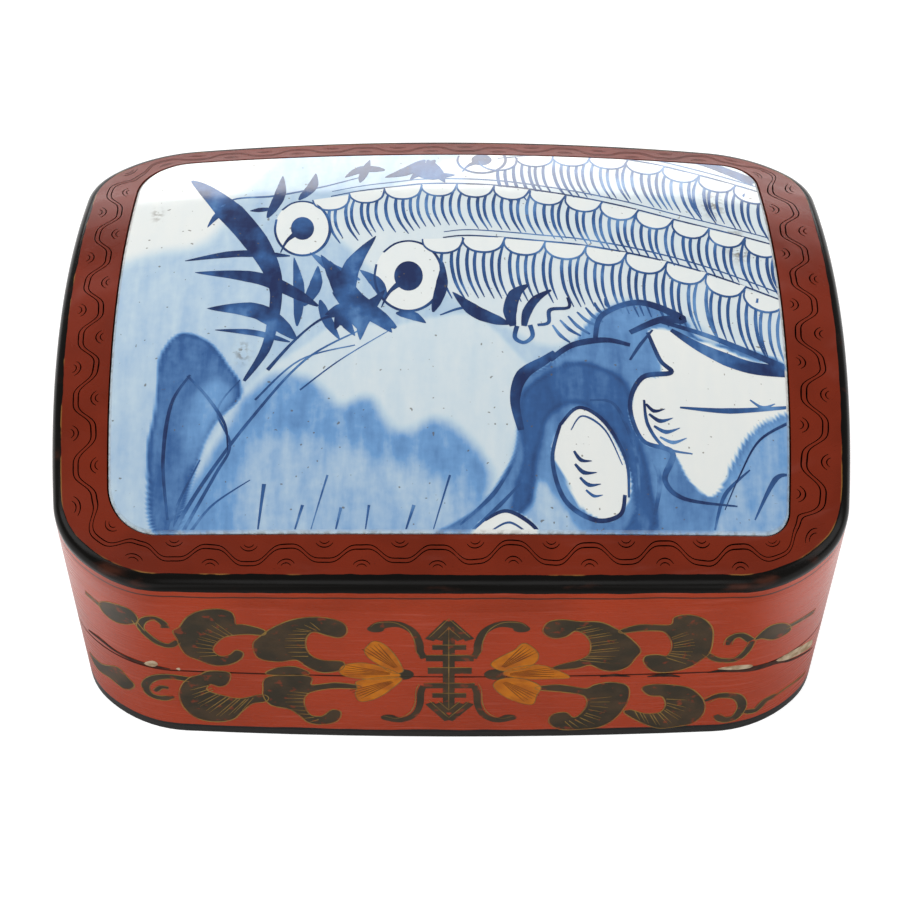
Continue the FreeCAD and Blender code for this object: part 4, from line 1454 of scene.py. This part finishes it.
# Gold hatching on the scrolls, each patch as its sheet, its two edges and how many lines it has.
hatching = [
    (at_left, [(1000, 180), (950, 190), (940, 240), (955, 290)],
     [(960, 148), (880, 190), (858, 240), (890, 290)], 11),
    (at_left, [(650, 200), (600, 215), (570, 250), (590, 285)],
     [(580, 150), (530, 190), (500, 240), (520, 290)], 10),
    (at_left, [(960, 430), (940, 460), (950, 510), (1000, 540)],
     [(880, 420), (860, 460), (890, 505), (960, 556)], 9),
    (at_left, [(560, 400), (600, 440), (680, 455), (740, 450)],
     [(480, 420), (520, 485), (600, 525), (700, 495)], 12),
    (at_right, [(560, 300), (605, 262), (590, 205), (540, 172)],
     [(680, 312), (720, 250), (680, 190), (600, 158)], 12),
    (at_right, [(905, 290), (935, 250), (925, 205)], [(985, 315), (1020, 240), (985, 180)], 9),
    (at_right, [(500, 545), (560, 530), (598, 490), (600, 450)],
     [(530, 572), (620, 556), (665, 500), (690, 440)], 10),
    (at_right, [(780, 505), (850, 515), (903, 495), (905, 450)],
     [(800, 542), (880, 560), (965, 530), (990, 450)], 12)]
for side, inner, outer, count in hatching:
    hatched(gold_paint, front_run(side, inner), front_run(side, outer), count, 0.26, 0.2, 0.05)

# Fret, each line as its corners and its width, counted across from its stem; the arms curl out
# from it to both sides and end in a knob.
fret_stem, fret_weight, fret_steps = 35, 1.3, 6
knob_wide, knob_tall = 1.9, 1.45
fret = [
    ([(-78, 220), (0, 146), (85, 220)], 1.7), ([(-42, 220), (0, 180), (46, 220)], 1.3),
    ([(0, 180), (0, 510)], 2.1),
    ([(-66, 250), (70, 250)], 1.6), ([(-92, 293), (100, 293)], 2.1), ([(-84, 343), (92, 343)], 2.1),
    ([(-100, 403), (104, 403)], 1.8), ([(-66, 442), (70, 442)], 1.6),
    ([(-78, 472), (0, 540), (85, 472)], 1.7),
    ([(-42, 472), (0, 508), (46, 472)], 1.3)]
arms = [([(96, 293), (112, 270), (118, 230), (145, 185), (200, 158), (268, 160), (292, 176)],
         (1.9, 1.6, 1.8, 2.0, 3.0, 3.6)),
        ([(100, 403), (112, 430), (116, 480), (140, 520), (190, 540), (240, 530)],
         (1.6, 1.7, 1.6, 2.0, 3.2))]
for points, width in fret:
    width *= fret_weight
    line = []
    for a, b in zip(points, points[1:]):
        line += [at_right(fret_stem + a[0] + (b[0] - a[0]) * k / fret_steps,
                          a[1] + (b[1] - a[1]) * k / fret_steps)
                 for k in range(fret_steps)]
    line.append(at_right(fret_stem + points[-1][0], points[-1][1]))
    for k in range(0, len(line) - 1, fret_steps):
        bar = line[k:k + fret_steps + 1]
        stroke(dark_paint, bar, width)
        stroke(gold_paint, [p + Vector((0, width / 2 + 0.12)) * mm for p in bar], 0.1, 0.24, 0.1)
for points, widths in arms:
    for side in (1, -1):
        line = smooth_run([at_right(fret_stem + side * x, y) for x, y in points], steps=6)
        stroke(dark_paint, line if side > 0 else line[::-1], *(widths if side > 0 else widths[::-1]))
        knob = []
        for a in range(10):
            off = Vector((knob_wide * math.cos(a * 0.63), knob_tall * math.sin(a * 0.63)))
            knob.append(line[-1] + off * mm)
        fill(dark_paint, smooth_run(knob, True, 3), paint_grid)
        stroke(gold_paint, [p + Vector((side * 1.1, 0.9)) * mm for p in line], 0.1, 0.26, 0.2, 0.1)

# Petals, each as its sheet, the foot that its veins start from and its outline.
vein_gap = 1.1 * mm
petals = [
    (at_left, (1330, 350), [(1215, 225), (1250, 235), (1290, 270), (1320, 315), (1330, 345), (1290, 350),
                            (1240, 320), (1195, 290), (1180, 265), (1190, 245)]),
    (at_left, (1325, 358), [(1078, 345), (1100, 320), (1170, 312), (1240, 325), (1320, 358), (1280, 372),
                            (1190, 375), (1110, 365)]),
    (at_left, (1325, 372), [(1150, 385), (1240, 370), (1325, 372), (1290, 410), (1230, 450), (1165, 465),
                            (1143, 440), (1150, 410)]),
    (at_right, (225, 345), [(205, 318), (240, 290), (300, 260), (330, 235), (355, 240), (392, 275),
                            (380, 310), (330, 335), (250, 342)]),
    (at_right, (235, 358), [(255, 350), (300, 330), (380, 320), (440, 330), (518, 368), (440, 374),
                            (360, 376), (280, 366)]),
    (at_right, (230, 372), [(215, 400), (250, 375), (330, 375), (400, 405), (385, 440), (370, 475),
                            (320, 470), (250, 440)])]
for side, root, points in petals:
    loop = front_run(side, points, True, 5)
    fill(orange_paint, loop, paint_grid)
    foot_point = side(*root)
    middle_point = sum(loop, Vector((0, 0))) / len(loop)
    way = middle_point - foot_point
    for k in range(-2, 3):
        tip = middle_point + way * 0.62 + Vector((-way.y, way.x)).normalized() * k * vein_gap
        stroke(vein_paint, [foot_point.lerp(tip, 0.2 + 0.8 * i / 5) for i in range(6)], 0.1, 0.42, 0.1)
    stroke(gold_paint, grown(loop, 0.12 * mm), 0.14, 0.24, 0.12, 0.2)
for side, cx, cy in ((at_left, 1330, 358), (at_right, 222, 358)):
    ring = [(cx + 46 * math.cos(a * 0.785), cy + 21 * math.sin(a * 0.785)) for a in range(8)]
    fill(dark_paint, front_run(side, ring, True, 4), paint_grid)

# Damage along the seam: chips down to the pale ground, and dark burrs where the lacquer broke.
chips = [
    (at_right, [(1110, 334), (1180, 322), (1245, 318), (1240, 330), (1160, 338)]),
    (at_right, [(1345, 302), (1400, 268), (1450, 240), (1488, 218), (1482, 244), (1440, 274), (1390, 297)]),
    (at_left, [(296, 312), (330, 302), (352, 316), (330, 326)]),
    (at_left, [(424, 334), (438, 331), (440, 340)])]
burrs = [
    (at_right, [(1070, 350), (1150, 340), (1250, 334), (1340, 310), (1400, 300), (1450, 277), (1488, 250)],
     (0.2, 2.0, 2.2, 1.0, 0.8, 0.3)),
    (at_left, [(75, 180), (120, 215), (180, 262), (250, 298), (330, 322), (400, 335)],
     (0.4, 1.3, 0.8, 1.2, 1.0, 0.2)),
    (at_right, [(640, 366), (700, 360), (760, 366)], (0.3, 1.2, 0.3)),
    (at_right, [(830, 366), (900, 360), (960, 366)], (0.3, 1.4, 0.3))]
for side, points in chips:
    fill(chip_paint, front_run(side, points, True, 3), paint_grid)
for side, points, widths in burrs:
    stroke(burr_paint, front_run(side, points), *widths)


def worn_paint(name, colour, other, scale, roughness, bare=0.0):
    """Paint that varies between two colours, with bare spots where it has rubbed off to the red."""
    material, tree, shader = new_material(name)
    where = object_place(tree)
    share = ramped(tree, noise_at(tree, where, scale, 5.0), 0.35, 0.68)
    mix = mixed(tree, share, colour, other)
    if bare:
        mix = mixed(tree, ramped(tree, noise_at(tree, where, 420.0, 4.0), 0.60, 0.68, 0.0, bare), mix,
                    lacquer_red)
    put(tree, shader.inputs["Base Color"], mix)
    set_sheen(shader, roughness, 0.25)
    grit = noise_at(tree, where, 900.0, 3.0)
    put(tree, shader.inputs["Normal"], bumped(tree, grit, 0.15, 0.2 * mm))
    return material


olive_black = worn_paint("olive_black", (0.034, 0.026, 0.013), (0.070, 0.042, 0.019), 150.0, 0.42, 0.35)
orange = worn_paint("orange_paint", (0.66, 0.200, 0.002), (0.48, 0.125, 0.002), 260.0, 0.4, 0.12)
brown_vein = worn_paint("brown_vein", (0.15, 0.034, 0.002), (0.30, 0.08, 0.003), 300.0, 0.45)
old_gold = worn_paint("old_gold", (0.33, 0.20, 0.045), (0.19, 0.10, 0.026), 200.0, 0.4, 0.5)
bare_dark_edge = worn_paint("bare_dark_edge", (0.014, 0.008, 0.006), (0.07, 0.025, 0.015), 400.0, 0.8)
bare_ground = worn_paint("bare_ground", (0.62, 0.50, 0.35), (0.33, 0.22, 0.12), 500.0, 0.85)

# What lies on the wall, each as its name, its drawing, its paint and how high it stands in millimetres.
paints = [
    ("scroll_paint", dark_paint, olive_black, 0.03), ("petal_paint", orange_paint, orange, 0.05),
    ("petal_veins", vein_paint, brown_vein, 0.07), ("gold_lines", gold_paint, old_gold, 0.06),
    ("seam_burrs", burr_paint, bare_dark_edge, 0.08), ("seam_chips", chip_paint, bare_ground, 0.10)]
seam_play = 0.06 * mm
for name, drawing, material, lift in paints:
    halves = {"lid": drawing, "base": drawing.copy()}
    for body, half in halves.items():
        side = -1 if body == "lid" else 1
        trim(half, (0, seam_z - side * seam_play), (0, side))
        if half.faces:
            piece = laid(half, name + "_" + body, on_wall, material, lift * mm)
            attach(piece, body)


# Inside of the box. Black lacquer on the bottom board, the rim, the strips and the bent board under
# the dome, brown lacquer putty round the china, and oiled blocks that the brush lies on.


def corners_of(node):
    """Low and high corner of a CAD node."""
    return tuple(Vector(corner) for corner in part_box(node))


def dress(node, material):
    """Gives a CAD node's own mesh a material."""
    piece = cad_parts[node]
    for held in piece.material_slots:
        held.material = material


def lacquered(name, colour, gloss):
    """Lacquer of one colour and gloss, as old as the rest."""
    material, tree, shader = new_material(name)
    surface = apply_group(tree, old_lacquer, Colour=colour, Clouding=0.6, Gloss=gloss)
    for socket, result in (("Base Color", "Colour"), ("Roughness", "Roughness"), ("Normal", "Normal")):
        put(tree, shader.inputs[socket], surface[result])
    shader.inputs["Specular IOR Level"].default_value = 0.35
    return material


def grained(name, dark_tone, light_tone, scale, stretch, roughness, relief):
    """Material with streaks or grains between two tones, and a relief of the same grain."""
    material, tree, shader = new_material(name)
    where = object_place(tree)
    coarse = noise_at(tree, where, scale, 6.0, stretch)
    fine = noise_at(tree, where, scale * 6, 3.0, stretch)
    grain = plus(tree, times(tree, coarse, 0.7), times(tree, fine, 0.3))
    put(tree, shader.inputs["Base Color"], mixed(tree, ramped(tree, grain, 0.36, 0.64), dark_tone,
                                                 light_tone))
    put(tree, shader.inputs["Roughness"], ramped(tree, grain, 0.3, 0.7, roughness, roughness + 0.15))
    put(tree, shader.inputs["Normal"], bumped(tree, grain, 0.3, relief))
    return material, tree, shader


black_lacquer = lacquered("black_lacquer", (0.010, 0.008, 0.006), 0.25)
inner_lacquer = lacquered("inner_lacquer", (0.020, 0.012, 0.009), 0.36)
putty = grained("putty", (0.060, 0.030, 0.018), (0.130, 0.075, 0.045), 500.0, (1, 1, 1), 0.75, 0.2 * mm)[0]
plain_wood = grained("plain_wood", (0.13, 0.060, 0.025), (0.27, 0.145, 0.070), 260.0, (1.0, 0.12, 1.0),
                     0.45, 0.1 * mm)[0]
dress("base_bottom_board", black_lacquer)
for node in ("locating_rim", "lid_backing_board", "brush_divider", "stone_divider", "ink_stick_divider"):
    dress(node, inner_lacquer)
for node in ("brush_rest_left", "brush_rest_right"):
    dress(node, plain_wood)
dress("shard_bedding_putty", putty)


# Ink stone. Dark grey slate, honed on its face, with dried ink where the face runs down to the
# well.
slate, tree, shader = grained("slate", (0.040, 0.040, 0.046), (0.085, 0.082, 0.090), 180.0, (1.0, 1.0, 3.0),
                              0.5, 0.08 * mm)
height = object_xyz(tree)[2]
stone_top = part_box("ink_stone")[1][2]
inked = ramped(tree, minus(tree, stone_top, height), 1.5 * mm, 5.0 * mm, 0.0, 0.85)
stone_colour = shader.inputs["Base Color"].links[0].from_socket
put(tree, shader.inputs["Base Color"], mixed(tree, inked, stone_colour, (0.006, 0.006, 0.007)))
dress("ink_stone", slate)


# Water dropper. Small white glazed block with a cobalt line round its shoulder, a dot in the middle
# of its top and a bare foot where it stood in the kiln.
dropper_glaze, tree, shader = new_material("dropper_glaze")
x, y, z = object_xyz(tree)
dropper_low, dropper_high = corners_of("water_dropper")
shoulder_down, foot_up = 2.6 * mm, 0.5 * mm
shoulder = ramped(tree, apart(tree, z, dropper_high.z - shoulder_down), 0.35 * mm, 0.6 * mm, 0.8, 0.04)
middle_x, middle_y = (dropper_low.x + dropper_high.x) / 2, (dropper_low.y + dropper_high.y) / 2
plan_place = add(tree, "CombineXYZ", None, X=x, Y=y).outputs[0]
from_middle = add(tree, "VectorMath", {"operation": "DISTANCE"}, _0=plan_place,
                  _1=(middle_x, middle_y, 0.0))
dot = ramped(tree, from_middle.outputs["Value"], 2.4 * mm, 3.0 * mm, 0.75, 0.04)
surface = apply_group(tree, cobalt_glaze, Tone=math_node(tree, "MAXIMUM", shoulder, dot))
bare_foot = ramped(tree, minus(tree, z, dropper_low.z), foot_up, foot_up + 0.4 * mm, 1.0, 0.0)
put(tree, shader.inputs["Base Color"], mixed(tree, bare_foot, surface["Colour"], (0.45, 0.30, 0.18)))
put(tree, shader.inputs["Roughness"], ramped(tree, bare_foot, 0, 1, 0.12, 0.8))
put(tree, shader.inputs["Normal"], surface["Normal"])
dress("water_dropper", dropper_glaze)


# Ink stick. Soot and glue pressed in a mould: satin black with a low pattern of rings and the rest
# of some rubbed gold.
pressed_ink, tree, shader = grained("pressed_ink", (0.010, 0.010, 0.011), (0.022, 0.021, 0.022), 300.0,
                                    (1, 1, 1), 0.4, 0.05 * mm)
where = object_place(tree)
rings = add(tree, "TexWave", {"wave_type": "RINGS"}, Vector=where, Scale=240.0, Distortion=1.5,
            Detail=1.0).outputs[1]
kept_gold = ramped(tree, noise_at(tree, where, 150.0, 3.0), 0.5, 0.6, 0.0, 0.7)
gold_left = times(tree, ramped(tree, rings, 0.8, 0.95), kept_gold)
ink_colour = shader.inputs["Base Color"].links[0].from_socket
put(tree, shader.inputs["Base Color"], mixed(tree, gold_left, ink_colour, (0.30, 0.18, 0.05)))
put(tree, shader.inputs["Normal"], bumped(tree, rings, 0.6, 0.3 * mm))
dress("ink_stick", pressed_ink)


# Writing brush. A bamboo tube with two knots, a dark horn cap and collar, and pale animal hair that
# is drawn to a point, with the strands showing as fine ridges.
bamboo = grained("bamboo", (0.36, 0.20, 0.070), (0.56, 0.37, 0.165), 140.0, (0.06, 1.0, 1.0), 0.3,
                 0.06 * mm)[0]
horn = grained("horn", (0.014, 0.008, 0.006), (0.070, 0.035, 0.018), 120.0, (0.3, 1.0, 1.0), 0.2,
               0.03 * mm)[0]
hair, tree, shader = grained("hair", (0.33, 0.20, 0.10), (0.62, 0.47, 0.29), 420.0, (0.03, 1.0, 1.0), 0.5,
                             0.1 * mm)
hair_low, hair_high = corners_of("brush_hair")
inked_tip = ramped(tree, object_xyz(tree)[0], hair_low.x + 6 * mm, hair_high.x, 0.0, 0.95)
hair_colour = shader.inputs["Base Color"].links[0].from_socket
put(tree, shader.inputs["Base Color"], mixed(tree, inked_tip, hair_colour, (0.03, 0.022, 0.018)))
strand_relief, strand_full = 0.16 * mm, 4.9 * mm


def turned_piece(name, node, profile, material, strands=0):
    """Closed lathe form along X in a node's box, its profile in shares of the length and millimetres."""
    low, high = corners_of(node)
    middle = (low + high) / 2
    segments = 144 if strands else 64
    points, faces = [], []
    for share, radius in profile:
        radius *= mm
        x = low.x + (high.x - low.x) * share
        for i in range(segments):
            angle = 2 * math.pi * i / segments
            r = radius
            if strands and 0.02 < share < 0.99:
                ridge = (math.sin(angle * strands + 2.5 * math.sin(share * 5)) * 0.5 - 0.5) * strand_relief
                r += ridge * radius / strand_full
            points.append(Vector((x, middle.y + r * math.cos(angle), middle.z + r * math.sin(angle))))
    for k in range(len(profile) - 1):
        for i in range(segments):
            a, b = k * segments + i, k * segments + (i + 1) % segments
            faces.append((a, b, b + segments, a + segments))
    last = (len(profile) - 1) * segments
    faces += [tuple(reversed(range(segments))), tuple(range(last, last + segments))]
    piece = new_piece(name, points, faces, material)
    piece.data.set_sharp_from_angle(angle=math.radians(40))
    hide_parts(node)
    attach(piece, "brush")
    return piece


handle_low, handle_high = corners_of("brush_handle")
handle_length, handle_end, handle_radius = (handle_high.x - handle_low.x) / mm, 3.5, 3.8
handle_profile = [(0.0, handle_end), (0.003, handle_radius)]
for knot in (1 / 3, 2 / 3):
    for off, grow in ((-0.8, 0.0), (-0.45, 0.28), (0.0, 0.5), (0.15, 0.12), (0.3, 0.34), (0.8, 0.0)):
        handle_profile.append((knot + off / handle_length, handle_radius + grow))
handle_profile += [(0.997, handle_radius), (1.0, handle_end)]
cap_profile = [(0.0, 0.5), (0.015, 1.6), (0.08, 2.9), (0.18, 3.7), (0.3, 4.15), (0.42, 4.3), (1.0, 4.3)]
collar_profile = [(0.0, 3.8), (0.12, 4.3), (0.25, 4.62), (0.4, 4.7), (0.8, 4.7), (0.83, 4.45), (0.87, 4.7),
                  (1.0, 4.65)]
hair_radius, hair_rows = 4.88, 24
hair_profile = []
for k in range(hair_rows + 1):
    share = k / hair_rows
    fullness = (1 - share ** 2.1) * (0.94 + 0.25 * math.sin(share * 3.0))
    hair_profile.append((share, hair_radius * min(1.0, max(0.02, fullness))))
turned_piece("brush_handle_bamboo", "brush_handle", handle_profile, bamboo)
turned_piece("brush_tail_cap_turned", "brush_tail_cap", cap_profile, horn)
turned_piece("brush_collar_turned", "brush_collar", collar_profile, horn)
turned_piece("brush_hair_strands", "brush_hair", hair_profile, hair, strands=36)
